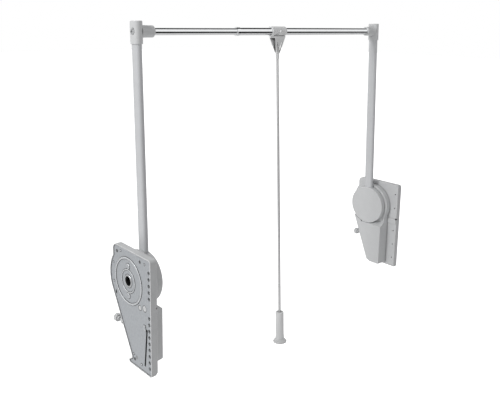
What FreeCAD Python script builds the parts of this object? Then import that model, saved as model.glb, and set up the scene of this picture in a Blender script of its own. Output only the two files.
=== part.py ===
import FreeCAD, Part
import math
import os

# Pull-down wardrobe rail: two wall units carry swinging arms, and the arms carry a
# telescopic hanging rail with a pull handle.  Millimetres, +Z up, +X to the right along
# the rail, -Y towards the user.  The origin is the rail's axis at its mid-length.
#
# Each wall unit is drawn in its own frame: x runs from the wall face inwards, and y = z = 0
# is the hub axis.  The right unit is the mirror image of the left one.

Vec = FreeCAD.Vector
ORIGIN = Vec(0, 0, 0)
X_DIR = Vec(1, 0, 0)
Y_DIR = Vec(0, 1, 0)
Z_DIR = Vec(0, 0, 1)

# ---- driving dimensions ---------------------------------------------------------------
WIDTH = 1010.0            # wall face to wall face at rest
ARM_LENGTH = 590.0        # hub axis to rail axis
ARM_LEAN = 1.7            # degrees the raised arm leans back past the vertical
ARM_SWING = 115.0         # degrees the arm swings down towards the user
ARM_PLANE = 47.5          # wall face to the middle of the arm tube

TUBE_WIDE = 30.0          # flat-oval arm tube, long side of its section
TUBE_THICK = 15.0         # and its short side
TUBE_WALL = 1.5

# cover moulding
COVER_WALL = 2.5
EDGE_SOFT = 1.6           # bevel that softens the moulded edges
BOX_ROUND = 2.2
FRONT_EDGE = -96.5        # straight front edge
FRONT_ROUND = 8.0
TOP_EDGE = 80.0
BOTTOM_EDGE = -211.5
BOTTOM_ROUND = 6.0
BOTTOM_BEVEL = 9.5        # the flange's lower inner edge slopes back to the wall side
LOBE_EDGE = 66.0          # back edge of the top corner lobe
LOBE_ROUND = 15.0
BULGE_RIM = 13.0          # flange round the drum along the bulged back edge
SLOPE_ANGLE = 29.0        # degrees the back edge slopes from the vertical
STEP_BACK = 2.0           # back end of the bottom lip
STEP_HIGH = 8.5           # height of the bottom lip
STEP_RISE = 10.0          # the slope turns into the lip this far above it
STEP_ROUND = 4.0
LIP_ROUND = 2.0
FLANGE_DEPTH = 18.5
DRUM_RIM = 6.5            # drum outside the disc's edge
DRUM_FACE = 39.2
BOX_FACE = 58.3
BOX_FRONT_IN = 2.0        # the box's front wall lies this far inside the disc's edge
BOX_BACK_OUT = 0.5        # and its back wall this far outside
BOX_SLOPE_ANGLE = 22.0    # degrees its back wall slopes from the vertical
BOX_ROOT = -20.0          # upper end of the box, inside the drum
BOX_BOTTOM = -199.5
BOX_HEEL_RISE = 6.0       # its back wall turns in this far above its bottom
BOX_HEEL_RUN = 14.0
BOX_HEEL_ROUND = 5.0
BOX_FOOT_ROUND = 10.0
BOX_TOE_ROUND = 4.0
BOX_DRAFT = 2.0           # the box widens by this from its face to the flange
RAMP_IN = 9.5             # the ramp starts on the drum face this far inside the disc's edge
RAMP_RUN = 13.0           # and reaches the box's full depth this far below
RAMP_BACK = 20.0          # behind this the box keeps its full depth
HORN_HIGH = 7.0           # and runs up along the disc to this far above the ramp
BLOCK_LENGTH = 33.0       # raised block on the front flange
BLOCK_TALL = 17.0
BLOCK_FOOT = -56.0
BLOCK_HIGH = 1.6
BLOCK_IN = 2.0
BLOCK_BEVEL = 0.8
BLOCK_HOLE_R = 3.6
BLOCK_HOLE_Z = -38.5
BLOCK_HOLE_DEEP = 14.0
PEGS = ((-48.8, -51.2, 5.5), (-68.2, -46.3, 6.8))     # cover pegs that show in the plate
PEG_GAP = 0.3

# mounting plate
PLATE_RECESS = 1.5
PLATE_THICK = 2.0
PLATE_GAP = 0.8           # seam between plate and cover rim
RIM_WALL = 2.1
RING_R = 59.0             # pressed ring round the hub
RING_WIDE = 4.6
RING_SOFT = 0.7
BOSS_RING_R = 29.6
BOSS_WIDE = 2.6
BEAD_LOW = 0.3            # the boss ring stops this far short of the wall face
HOLE_LINE = -87.0         # line of fixing holes along the front edge
HOLE_PITCH = 16.0
HOLE_TOP = 48.0
HOLE_R = 2.3
HOLE_SINK = 0.8           # countersink of each hole
OPEN_HOLES = (0, 3, 8, 11, 14)        # places in the row where the cover is open too
SHUT_HOLES = (1, 2, 4, 7, 9, 10, 12, 13, 15)
UPPER_SCREWS = ((48.5, 62.5), (-51.5, 64.5))
FOOT_SCREW_IN = 12.8      # lower cover screw from the box's heel
FOOT_SCREW_UP = 5.5       # and above the box's bottom
SCREW_HEAD_R = 2.9
SCREW_SHANK_R = 1.5
SCREW_LENGTH = 11.0
SLIT_TOP = (-77.5, -97.0)             # slanting slit beside the row of holes
SLIT_FOOT = (-67.5, -192.0)
SLIT_WIDE = 3.4
EDGE_SLOT = (55.5, -42.8)             # short slot near the back edge
EDGE_SLOT_LENGTH = 7.0
EDGE_SLOT_WIDE = 2.6
DIMPLES = ((32.0, 68.0), (-70.5, 64.0), (66.0, 28.5), (65.0, -20.0), (-18.8, -181.9))
DIMPLE_R = 2.2
DIMPLE_HIGH = 0.7
TAB = ((-67.5, -88.0), (-70.0, -102.0))   # raised tab at the slit's upper end
TAB_WIDE = 7.0
TAB_HIGH = 1.1
FOOT_LUG = (-52.2, -195.5, 2.6)
CORE_WALL = 2.4           # wall of the screw cores inside the cover

# hub
AXLE_BORE_R = 12.2
AXLE_R = 15.0
AXLE_SPIGOT_R = 16.4
AXLE_FLANGE_R = 52.0
AXLE_FLANGE_THICK = 3.0
AXLE_END = 44.0
AXLE_SOFT = 1.0
BUSH_WALL = 2.4
RUNNING_FIT = 0.05
BARREL_R = 26.0
BARREL_GAP = 0.7
NECK_R = 40.0
NECK_GAP = 0.8
DISC_R = 62.5
DISC_BACK = 42.0
DISC_FRONT = 55.8
CAP_FRONT = 58.8
CAP_SKIN = 1.6
CAP_SPIGOT_IN = 3.5       # spigot ring inside the disc's edge
CAP_SPIGOT_WALL = 2.0
CAP_TUBE_GAP = 0.2
CAP_SPIGOT_DEEP = 1.8
SOCKET_START = 24.0       # inner end of the arm tube from the hub axis
ARM_SCREW_FIRST = 31.0    # first clamping screw from the hub axis
ARM_SCREW_IN = 13.5       # second clamping screw from the disc's edge
ARM_SCREW_R = 2.2
ARM_SCREW_HEAD_R = 4.2
ARM_SCREW_HEAD_HIGH = 1.9
RIVET_OFFSET = 37.4
RIVET_HEAD_R = 7.4
RIVET_SHANK_R = 3.5
RIVET_TAIL_R = 4.8
RIVET_TAIL_HIGH = 1.4
RIVET_SOFT = 0.8
CIRCLIP_THICK = 1.3
CIRCLIP_WALL = 4.0        # ring outside the axle
CIRCLIP_BITE = 1.0
CIRCLIP_MOUTH = 6.0
CIRCLIP_SHOULDER = 1.3    # axle past the ring
CIRCLIP_ROOM = 1.5
BUSH_START_GAP = 0.5
BUSH_LIP = 3.0
DISC_CLEAR = 1.5          # running gap between disc and lower box
CRANK_BACK = 10.0
CRANK_THICK = 4.0
CRANK_R = 46.0            # crank pin circle
CRANK_START = 8.0         # degrees of the crank pin behind straight down, at rest
CRANK_LOBE_R = 9.0
CRANK_HUB_R = 25.0
CRANK_PIN_R = 4.0
CRANK_PIN_HEAD = 2.0      # its head stands out this far all round
CRANK_PIN_HEAD_HIGH = 1.5
CRANK_PIN_END = 35.5
BUFFER_R = 4.5
BUFFER_LENGTH = 7.5
SEAT_GAP = 0.3            # gap between parts that meet but move

# spring and force adjuster
SPRING_PLANE = 26.5
SPRING_R = 8.5
SPRING_BORE_R = 6.0
SPRING_EYE_THICK = 3.0
SPRING_EYE_R = 7.5
SPRING_CLEAR = 15.0       # pin centre to the first coil
SPRING_PLUG = 4.0
POST_Y = -22.0
POST_Z = -165.0
POST_R = 4.0
LEVER_BACK = 4.0
LEVER_THICK = 2.5
LEVER_PIVOT_Y = -32.0
LEVER_PIVOT_Z = -186.0
PIVOT_R = 3.0
PIVOT_TAIL = 2.0
PIVOT_TAIL_HIGH = 1.5
ADJUSTER_DEPTH = 11.5     # wall face to the adjusting screw
ADJUSTER_Z = -124.0
SPINDLE_R = 3.0
SPINDLE_START = -15.0
EAR_Y = -11.0
EAR_THICK = 6.0
EAR_R = 5.5
BUSH_R = 5.0
BUSH_START = 15.0
BUSH_END = 46.0
COLLAR_R = 6.8
COLLAR_THICK = 7.0
KNOB_R = 10.5
KNOB_START = 64.0
KNOB_LENGTH = 12.0
KNOB_SOFT = 1.2
KNOB_NECK_R = 6.0
KNOB_NECK_LENGTH = 5.0
KNOB_BORE_DEEP = 8.0
KNOB_FLUTES = 8
FLUTE_R = 2.4
FLUTE_OUT = 0.9           # centre of each flute outside the knob's edge

# rail brackets at the arm tops
BRACKET_WALL = 2.8
BRACKET_TOP = 24.0
BRACKET_BOTTOM = -28.5
TUBE_TOP = 18.0           # arm tube end above the rail axis
RAIL_SOCKET_END = 44.5
RAIL_SOCKET_ROOT_R = 16.8
RAIL_SOCKET_R = 14.2
RAIL_SOCKET_CHAMFER = 1.6
RAIL_SOCKET_RUN = 12.0    # the socket narrows over this length
SOCKET_STEPS = 4
SOCKET_FLOOR = 9.0
BRACKET_SCREW_R = 2.6
BRACKET_HEAD_R = 8.0
BRACKET_HEAD_HIGH = 3.4
BRACKET_HEAD_SOFT = 1.8
CROSS_LENGTH = 9.0
CROSS_WIDE = 1.8
CROSS_DEEP = 1.8
HEAD_GAP = 0.3
COUNTERBORE = 1.0
PLUG_LENGTH = 12.0
PLUG_DEPTH = 14.0

# rail, sleeve and handle
INNER_TUBE_R = 9.0
OUTER_TUBE_R = 10.5
RAIL_WALL = 1.2
RAIL_STEP = -151.5        # open end of the outer tube
INNER_TUBE_END = 60.0
COLLAR_LIP = 1.1          # lip outside the outer tube
COLLAR_LIP_LENGTH = 9.0
COLLAR_FRONT = 2.0        # lip in front of the tube's end
COLLAR_SOFT = 0.8
GLIDE_LENGTH = 20.0
GLIDE_HEAD = 5.0
HANDLE_X = 3.0
SLEEVE_LENGTH = 56.0
SLEEVE_WALL = 2.7
SLEEVE_CHAMFER = 1.2
HANDLE_LEAN = 2.7         # degrees the hanging handle leans towards the user
YOKE_HALF = 20.5
YOKE_SHELL = 3.4
YOKE_TIP = 3.4            # the tongues end this far above the rail axis
YOKE_TIP_HALF = 0.9
YOKE_WAIST = (7.0, 5.0)   # tongue: half width, and how far its waist is above the shoulders
YOKE_SHOULDER = 5.0       # shoulders below the sleeve
YOKE_FRAME_DEPTH = 13.0   # half depth of the struts under the sleeve
YOKE_NECK = -61.0
YOKE_SKIN = 3.0           # front and back plates of the frame
SOCKET_R = 5.4
SOCKET_LENGTH = 15.0      # rod socket below the frame
SOCKET_SOFT = 0.8
SOCKET_BLIND = -38.0      # inner end of the rod's blind hole
RIB_HALF = 2.6
HOLE_WALL = 1.6           # wall round the rod's blind hole
WINDOW_TOP = -31.0
WINDOW_KNEE = -43.0
WINDOW_OUT = 8.0          # window's outer corner from the rib
WINDOW_IN = 4.4
WINDOW_FOOT = 1.6
WINDOW_RISE = 4.0         # window's foot above the neck
HANDLE_ROD_R = 4.0
HANDLE_END = -926.5       # lowest point of the handle
SKIRT_HEIGHT = 11.0
SKIRT_R = 20.8
SKIRT_RIM = 3.0           # height of the skirt's edge
SKIRT_LIP = 0.6           # skirt outside the grip's end
SKIRT_WALL = 2.2
SKIRT_NOTCHES = 12
SKIRT_NOTCH_R = 2.1
SKIRT_NOTCH_OUT = 0.7     # centre of each notch outside the skirt's edge
SKIRT_PEG_R = 6.0
SKIRT_PEG_LENGTH = 12.0
GRIP_LENGTH = 84.5
GRIP_R = 12.4
GRIP_SWELL = 0.8          # the grip's lower end is thicker by this
GRIP_SWELL_RUN = 6.0
GRIP_SOFT = 1.6
GRIP_RECESS = 3.0
GRIP_RIM = 5.8
ROD_IN_GRIP = 40.0

PAST = 1.0                # how far a cut runs past what it cuts
FAR = 320.0               # reach of a cutting block

# ---- places that follow ---------------------------------------------------------------
HALF_WIDTH = WIDTH / 2
DRUM_R = DISC_R + DRUM_RIM
BULGE_R = DRUM_R + BULGE_RIM
BOX_FRONT = BOX_FRONT_IN - DISC_R
RAMP_TOP = RAMP_IN - DISC_R
STEP_TOP = BOTTOM_EDGE + STEP_HIGH
BOX_SLOPE = math.radians(BOX_SLOPE_ANGLE)
HEEL_Z = BOX_BOTTOM + BOX_HEEL_RISE
HEEL_Y = (DISC_R + BOX_BACK_OUT + HEEL_Z * math.sin(BOX_SLOPE)) / math.cos(BOX_SLOPE)
SCREW_SPOTS = UPPER_SCREWS + ((HEEL_Y - FOOT_SCREW_IN, BOX_BOTTOM + FOOT_SCREW_UP),)
BLOCK_FACE = FLANGE_DEPTH + BLOCK_HIGH
FLANGE_END = PLATE_RECESS + PLATE_THICK + AXLE_FLANGE_THICK
CIRCLIP_START = AXLE_END - CIRCLIP_THICK - CIRCLIP_SHOULDER
ARM_SCREW_PLACES = (ARM_SCREW_FIRST, DISC_R - ARM_SCREW_IN)
HEAD_SEAT = ARM_PLANE - TUBE_THICK / 2 - BRACKET_WALL + COUNTERBORE
SLEEVE_R = OUTER_TUBE_R + SEAT_GAP + SLEEVE_WALL
YOKE_BORE_R = SLEEVE_R + SEAT_GAP
YOKE_TOP = -SLEEVE_R - YOKE_SHOULDER
YOKE_LOW = SOCKET_R * 0.9
SOCKET_END = YOKE_NECK - SOCKET_LENGTH
GRIP_BOTTOM = HANDLE_END + SKIRT_HEIGHT
GRIP_TOP = GRIP_BOTTOM + GRIP_LENGTH
GRIP_R_LOW = GRIP_R + GRIP_SWELL
LEAN = math.radians(ARM_LEAN)
HUB_Y = -ARM_LENGTH * math.sin(LEAN)
HUB_Z = -ARM_LENGTH * math.cos(LEAN)
PLATE_INNER = PLATE_RECESS + PLATE_THICK
FLANGE_INNER = FLANGE_DEPTH - COVER_WALL
BUSH_OUT_R = AXLE_R + RUNNING_FIT + BUSH_WALL
ARM_X = HALF_WIDTH - ARM_PLANE
BRACKET_HALF = TUBE_THICK / 2 + BRACKET_WALL
PIN_Y = CRANK_R * math.sin(math.radians(CRANK_START))
PIN_Z = -CRANK_R * math.cos(math.radians(CRANK_START))
BARREL_FRONT = DRUM_FACE - COVER_WALL - BARREL_GAP
DISC_POCKET_R = DISC_R + DISC_CLEAR
CAP_SPIGOT_R = DISC_R - CAP_SPIGOT_IN


# ---- shapes used by several pieces ------------------------------------------------------
def rod_x(radius, start, end, y=0.0, z=0.0):
    return Part.makeCylinder(radius, end - start, Vec(start, y, z), X_DIR)


def rod_y(radius, start, end, x=0.0, z=0.0):
    return Part.makeCylinder(radius, end - start, Vec(x, start, z), Y_DIR)


def rod_z(radius, start, end, x=0.0, y=0.0):
    return Part.makeCylinder(radius, end - start, Vec(x, y, start), Z_DIR)


def ring_x(outer, inner, start, end, y=0.0, z=0.0):
    return rod_x(outer, start, end, y, z).cut(rod_x(inner, start, end, y, z))


def rounded_wire(corners, x):
    """Closed outline at one x, from (y, z, radius) corners joined by tangent arcs."""
    edges = []
    ends = []
    count = len(corners)
    for index in range(count):
        y, z, radius = corners[index]
        corner = Vec(x, y, z)
        before = Vec(x, *corners[index - 1][:2]) - corner
        after = Vec(x, *corners[(index + 1) % count][:2]) - corner
        before.normalize()
        after.normalize()
        if radius == 0:
            ends.append((corner, None, corner))
            continue
        half = before.getAngle(after) / 2
        run = radius / math.tan(half)
        bisector = before + after
        bisector.normalize()
        middle = corner + bisector * (radius / math.sin(half) - radius)
        ends.append((corner + before * run, middle, corner + after * run))
    for index in range(count):
        start, middle, end = ends[index]
        if middle is not None:
            edges.append(Part.Arc(start, middle, end).toShape())
        following = ends[(index + 1) % count][0]
        if end.distanceToPoint(following) > 0.001:
            edges.append(Part.makeLine(end, following))
    return Part.Wire(edges)


def slab(wire, depth):
    return Part.Face(wire).extrude(Vec(depth, 0, 0))


def inset(wire, distance):
    return wire.makeOffset2D(-distance)


def stadium(long_side, short_side, start, end, x=0.0, y=0.0):
    """Upright flat-oval bar: its flats face +X and -X, its round sides face +Y and -Y."""
    radius = short_side / 2
    straight = long_side / 2 - radius
    corner_a = Vec(x - radius, y - straight, start)
    corner_b = Vec(x - radius, y + straight, start)
    corner_c = Vec(x + radius, y + straight, start)
    corner_d = Vec(x + radius, y - straight, start)
    far = Part.Arc(corner_b, Vec(x, y + straight + radius, start), corner_c)
    near = Part.Arc(corner_d, Vec(x, y - straight - radius, start), corner_a)
    wire = Part.Wire([Part.makeLine(corner_a, corner_b), far.toShape(),
                      Part.makeLine(corner_c, corner_d), near.toShape()])
    return Part.Face(wire).extrude(Vec(0, 0, end - start))


def edges_at_x(shape, x):
    found = []
    for edge in shape.Edges:
        if abs(edge.BoundBox.XMin - x) < 0.01 and abs(edge.BoundBox.XMax - x) < 0.01:
            found.append(edge)
    return found


def edges_at_z(shape, z):
    found = []
    for edge in shape.Edges:
        if abs(edge.BoundBox.ZMin - z) < 0.01 and abs(edge.BoundBox.ZMax - z) < 0.01:
            found.append(edge)
    return found


def spun(profile, centre, axis):
    """Solid of revolution from a closed list of points."""
    wire = Part.makePolygon(profile + [profile[0]])
    return Part.Face(wire).revolve(centre, axis, 360)


def polar(radius, degrees):
    """Point on a circle round the hub, from straight down towards the back."""
    turn = math.radians(degrees)
    return radius * math.sin(turn), -radius * math.cos(turn)


# ---- cover moulding ---------------------------------------------------------------------
def cover_outline(x):
    """Front edge straight, back edge bulged round the hub and sloping in to a bottom lip."""
    arc_start = math.acos(LOBE_EDGE / BULGE_R)
    arc_end = -math.radians(SLOPE_ANGLE)
    middle = (arc_start + arc_end) / 2
    reach = BULGE_R / math.cos((arc_start - arc_end) / 2)
    slope_y = math.cos(arc_end) * BULGE_R
    slope_z = math.sin(arc_end) * BULGE_R
    foot_z = STEP_TOP + STEP_RISE
    foot_y = slope_y - (slope_z - foot_z) * math.tan(math.radians(SLOPE_ANGLE))
    corners = [
        (FRONT_EDGE, TOP_EDGE, FRONT_ROUND),
        (LOBE_EDGE, TOP_EDGE, LOBE_ROUND),
        (LOBE_EDGE, BULGE_R * math.sin(arc_start), 0.0),
        (reach * math.cos(middle), reach * math.sin(middle), BULGE_R),
        (foot_y, foot_z, STEP_ROUND),
        (STEP_BACK, STEP_TOP, LIP_ROUND),
        (STEP_BACK, BOTTOM_EDGE, BOTTOM_ROUND),
        (FRONT_EDGE, BOTTOM_EDGE, BOTTOM_ROUND),
    ]
    return rounded_wire(corners, x)


def box_outline(x, grow):
    """Outline of the lower box: it runs off the disc's circle on its sloping back side."""
    heel_y = HEEL_Y + grow / math.cos(BOX_SLOPE)
    top_y = heel_y + (BOX_ROOT - HEEL_Z) * math.tan(BOX_SLOPE)
    corners = [
        (BOX_FRONT - grow, BOX_ROOT, 0.0),
        (top_y, BOX_ROOT, 0.0),
        (heel_y, HEEL_Z, BOX_HEEL_ROUND),
        (heel_y - BOX_HEEL_RUN, BOX_BOTTOM - grow, BOX_FOOT_ROUND),
        (BOX_FRONT - grow, BOX_BOTTOM - grow, BOX_TOE_ROUND),
    ]
    return rounded_wire(corners, x)


def across(points, back):
    """Prism from well in front of a wall unit to the back given, from its (x, z) outline."""
    outline = [Vec(x, -FAR / 2, z) for x, z in points]
    run = Vec(0, back + FAR / 2, 0)
    return Part.Face(Part.makePolygon(outline + outline[:1])).extrude(run)


def above_ramp(drop, front):
    """Blocks in front of the drum face that the lower box leaves free."""
    face = DRUM_FACE - drop
    fall = RAMP_RUN / (BOX_FACE - DRUM_FACE)
    far = front + PAST
    foot = RAMP_TOP - drop - fall * (far - DRUM_FACE)
    ramp = [(face, RAMP_TOP - drop), (far, foot), (far, FAR), (face, FAR)]
    level = RAMP_TOP + HORN_HIGH - drop
    upper = [(face, level), (far, level), (far, FAR), (face, FAR)]
    return [across(ramp, RAMP_BACK + drop), across(upper, FAR / 2)]


def lower_box(front, grow, start):
    low = box_outline(start, grow + BOX_DRAFT)
    high = box_outline(front, grow)
    return Part.makeLoft([low, high], True, True)


def bottom_bevel(inward):
    """Wedge that comes off the flange's lower inner edge."""
    front = FLANGE_DEPTH - inward
    bottom = BOTTOM_EDGE + inward
    run = BOTTOM_BEVEL - inward * (2 - math.sqrt(2))
    return across([(front - run, bottom), (front, bottom + run), (front + PAST, bottom + run),
                   (front + PAST, bottom - FAR), (front - run, bottom - FAR)], FAR / 2)


def cover_outside():
    flange = slab(cover_outline(0.0), FLANGE_DEPTH)
    flange = flange.makeChamfer(EDGE_SOFT, edges_at_x(flange, FLANGE_DEPTH))
    flange = flange.cut(bottom_bevel(0.0))
    drum = rod_x(DRUM_R, 0.0, DRUM_FACE)
    drum = drum.makeChamfer(EDGE_SOFT, edges_at_x(drum, DRUM_FACE))
    box = lower_box(BOX_FACE, 0.0, FLANGE_DEPTH - COVER_WALL / 2)
    box = box.makeFillet(BOX_ROUND, edges_at_x(box, BOX_FACE))
    box = box.cut(above_ramp(0.0, BOX_FACE))
    box = box.cut(rod_x(DISC_POCKET_R, DRUM_FACE, BOX_FACE + PAST))
    box = box.cut(rod_x(DRUM_R - 2 * COVER_WALL, 0.0, DRUM_FACE))
    return flange.fuse([drum, box])


def cover_inside():
    flange = slab(inset(cover_outline(-PAST), COVER_WALL), FLANGE_INNER + PAST)
    flange = flange.cut(bottom_bevel(COVER_WALL))
    drum = rod_x(DRUM_R - COVER_WALL, -PAST, DRUM_FACE - COVER_WALL)
    box = lower_box(BOX_FACE - COVER_WALL, -COVER_WALL, FLANGE_INNER - COVER_WALL)
    box = box.cut(above_ramp(COVER_WALL, BOX_FACE))
    box = box.cut(rod_x(DISC_POCKET_R + COVER_WALL, DRUM_FACE - COVER_WALL, BOX_FACE + PAST))
    return flange.fuse([drum, box])


def screw_cores(outside):
    """Hollow cores that the cover screws bite in, sleeves round the wall screws, and pegs."""
    end = FLANGE_DEPTH - COVER_WALL / 2
    radius = SCREW_SHANK_R + CORE_WALL
    cores = [ring_x(radius, SCREW_SHANK_R, PLATE_INNER, end, y, z) for y, z in SCREW_SPOTS]
    for place in OPEN_HOLES:
        radius = HOLE_R + CORE_WALL
        cores.append(rod_x(radius, PLATE_INNER, end, HOLE_LINE, hole_z(place)))
    for y, z, radius in PEGS:
        cores.append(rod_x(radius, PLATE_RECESS, BOX_FACE, y, z).common(outside))
    return cores


def hole_z(place):
    return HOLE_TOP - HOLE_PITCH * place


def fixing_block():
    """Raised block on the front flange with a slanting hole through its outer corner."""
    block = Part.makeBox(COVER_WALL, BLOCK_LENGTH, BLOCK_TALL,
                         Vec(BLOCK_FACE - COVER_WALL, FRONT_EDGE + BLOCK_IN, BLOCK_FOOT))
    return block.makeChamfer(BLOCK_BEVEL, edges_at_x(block, BLOCK_FACE))


def make_cover():
    outside = cover_outside()
    body = outside.fuse(fixing_block()).cut(cover_inside())
    body = body.fuse(screw_cores(outside))
    cuts = [rod_x(NECK_R + NECK_GAP, DRUM_FACE - 2 * COVER_WALL, DRUM_FACE + PAST)]
    for place in OPEN_HOLES:
        cuts.append(rod_x(HOLE_R, 0.0, FLANGE_DEPTH + PAST, HOLE_LINE, hole_z(place)))
    mouth = Vec(BLOCK_FACE, FRONT_EDGE - BLOCK_HIGH, BLOCK_HOLE_Z)
    cuts.append(Part.makeCylinder(BLOCK_HOLE_R, BLOCK_HOLE_DEEP, mouth, Vec(-1, 1, 0)))
    cuts.append(rod_y(BUSH_R, 0.0, BUSH_END + DRUM_RIM, ADJUSTER_DEPTH, ADJUSTER_Z))
    return body.cut(cuts)


# ---- mounting plate ---------------------------------------------------------------------
def strip(start, end, width, thick):
    """Flat bar along the wall from one (y, z) place to another, from x = 0 inwards."""
    run = Vec(0, end[0] - start[0], end[1] - start[1])
    side = run.cross(X_DIR)
    side.normalize()
    side = side * (width / 2)
    first = Vec(0, *start)
    last = Vec(0, *end)
    points = [first + side, last + side, last - side, first - side]
    return Part.Face(Part.makePolygon(points + points[:1])).extrude(Vec(thick, 0, 0))


def bead(radius, width, low, soft):
    """Pressed ring that stands out of the plate towards the wall."""
    ring = ring_x(radius, radius - width, low, PLATE_RECESS)
    return ring.makeChamfer(soft, edges_at_x(ring, low))


def lug(y, z, radius, high):
    return Part.makeCone(radius - high, radius, high, Vec(PLATE_RECESS - high, y, z), X_DIR)


def plate_cuts():
    deep = PLATE_INNER + PAST
    cuts = [rod_x(AXLE_SPIGOT_R, 0.0, deep)]
    for place in OPEN_HOLES + SHUT_HOLES:
        cuts.append(rod_x(HOLE_R, 0.0, deep, HOLE_LINE, hole_z(place)))
        cuts.append(Part.makeCone(HOLE_R + HOLE_SINK, HOLE_R, HOLE_SINK,
                                  Vec(PLATE_RECESS, HOLE_LINE, hole_z(place)), X_DIR))
    for y, z in SCREW_SPOTS:
        cuts.append(rod_x(SCREW_HEAD_R, 0.0, deep, y, z))
    for y, z, radius in PEGS:
        cuts.append(rod_x(radius + PEG_GAP, 0.0, deep, y, z))
    for sign in (-1, 1):
        cuts.append(rod_x(RIVET_SHANK_R, 0.0, deep, 0.0, sign * RIVET_OFFSET))
    cuts.append(strip(SLIT_TOP, SLIT_FOOT, SLIT_WIDE, deep))
    slot_end = (EDGE_SLOT[0], EDGE_SLOT[1] - EDGE_SLOT_LENGTH)
    cuts.append(strip(EDGE_SLOT, slot_end, EDGE_SLOT_WIDE, deep))
    cuts.append(rod_x(PIVOT_R, 0.0, deep, LEVER_PIVOT_Y, LEVER_PIVOT_Z))
    return cuts


def make_plate():
    """Pressed steel plate: ring and boss beads round the hub, its lugs and its holes."""
    outline = inset(cover_outline(PLATE_RECESS), RIM_WALL + PLATE_GAP)
    plate = slab(outline, PLATE_THICK)
    raised = [bead(RING_R, RING_WIDE, 0.0, RING_SOFT),
              bead(BOSS_RING_R, BOSS_WIDE, BEAD_LOW, BEAD_LOW * 2)]
    raised += [lug(y, z, DIMPLE_R, DIMPLE_HIGH) for y, z in DIMPLES]
    raised.append(lug(*FOOT_LUG, TAB_HIGH))
    tab = strip(*TAB, TAB_WIDE, TAB_HIGH)
    tab.translate(Vec(PLATE_RECESS - TAB_HIGH, 0, 0))
    return plate.fuse(raised + [tab]).cut(plate_cuts())


def make_rivets():
    rivets = []
    for sign in (-1, 1):
        z = sign * RIVET_OFFSET
        head = rod_x(RIVET_HEAD_R, BEAD_LOW, PLATE_RECESS, 0.0, z)
        head = head.makeChamfer(RIVET_SOFT, edges_at_x(head, BEAD_LOW))
        shank = rod_x(RIVET_SHANK_R, PLATE_RECESS, FLANGE_END, 0.0, z)
        tail = rod_x(RIVET_TAIL_R, FLANGE_END, FLANGE_END + RIVET_TAIL_HIGH, 0.0, z)
        rivets.append(head.fuse([shank, tail]))
    return Part.makeCompound(rivets)


def make_cover_screws():
    """Pan-head screws set in the plate's clearance holes, biting in the cover's cores."""
    screws = []
    for y, z in SCREW_SPOTS:
        head = rod_x(SCREW_HEAD_R, PLATE_RECESS + SEAT_GAP, PLATE_INNER, y, z)
        shank = rod_x(SCREW_SHANK_R, PLATE_INNER, SCREW_LENGTH, y, z)
        screws.append(head.fuse(shank))
    return Part.makeCompound(screws)


# ---- hub --------------------------------------------------------------------------------
def make_axle():
    """Flanged hollow axle riveted behind the plate; its spigot shows at the wall face."""
    body = rod_x(AXLE_SPIGOT_R, BEAD_LOW, PLATE_INNER)
    body = body.makeChamfer(AXLE_SOFT, edges_at_x(body, BEAD_LOW))
    body = body.fuse([rod_x(AXLE_FLANGE_R, PLATE_INNER, FLANGE_END),
                      rod_x(AXLE_R, FLANGE_END, AXLE_END)])
    groove = ring_x(AXLE_R + PAST, AXLE_R - CIRCLIP_BITE, CIRCLIP_START,
                    CIRCLIP_START + CIRCLIP_THICK)
    cuts = [rod_x(AXLE_BORE_R, 0.0, AXLE_END + PAST), groove]
    for sign in (-1, 1):
        cuts.append(rod_x(RIVET_SHANK_R, 0.0, FLANGE_END + PAST, 0.0, sign * RIVET_OFFSET))
    return body.cut(cuts)


def make_circlip():
    """Spring ring in the axle's groove, open at the top."""
    outer = AXLE_R + CIRCLIP_WALL
    ring = ring_x(outer, AXLE_R - CIRCLIP_BITE, CIRCLIP_START, CIRCLIP_START + CIRCLIP_THICK)
    mouth = Part.makeBox(CIRCLIP_THICK + 2 * PAST, CIRCLIP_MOUTH, outer + PAST,
                         Vec(CIRCLIP_START - PAST, -CIRCLIP_MOUTH / 2, 0.0))
    return ring.cut(mouth)


def make_bush():
    """Plain nylon bearing bush between axle and hub barrel."""
    start = FLANGE_END + BUSH_START_GAP
    tube = ring_x(BUSH_OUT_R, AXLE_R + RUNNING_FIT, start, CIRCLIP_START - SEAT_GAP)
    lip = ring_x(BUSH_OUT_R + BUSH_LIP, AXLE_R + RUNNING_FIT, start, CRANK_BACK)
    return tube.fuse(lip)


def arm_channel(clearance):
    end = DISC_R + PAST
    wide = TUBE_WIDE + 2 * clearance
    thick = TUBE_THICK + 2 * clearance
    return stadium(wide, thick, SOCKET_START - clearance, end, ARM_PLANE)


def make_hub_disc():
    """Rotating carrier: barrel on the bush, neck through the cover, disc with tube channel."""
    body = rod_x(DISC_R, DISC_BACK, DISC_FRONT)
    neck = rod_x(NECK_R, BARREL_FRONT, DISC_BACK)
    barrel = rod_x(BARREL_R, CRANK_BACK + CRANK_THICK, BARREL_FRONT)
    body = body.fuse([neck, barrel])
    clip_room = AXLE_R + CIRCLIP_WALL + CIRCLIP_ROOM
    cuts = [rod_x(BUSH_OUT_R, CRANK_BACK, DISC_FRONT + PAST),
            rod_x(clip_room, CIRCLIP_START - SEAT_GAP, DISC_FRONT + PAST),
            rod_x(CAP_SPIGOT_R, DISC_FRONT - CAP_SPIGOT_DEEP, DISC_FRONT + PAST),
            arm_channel(0.0)]
    for z in ARM_SCREW_PLACES:
        cuts.append(rod_x(ARM_SCREW_R, DISC_BACK, ARM_PLANE, 0.0, z))
    return body.cut(cuts)


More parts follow.
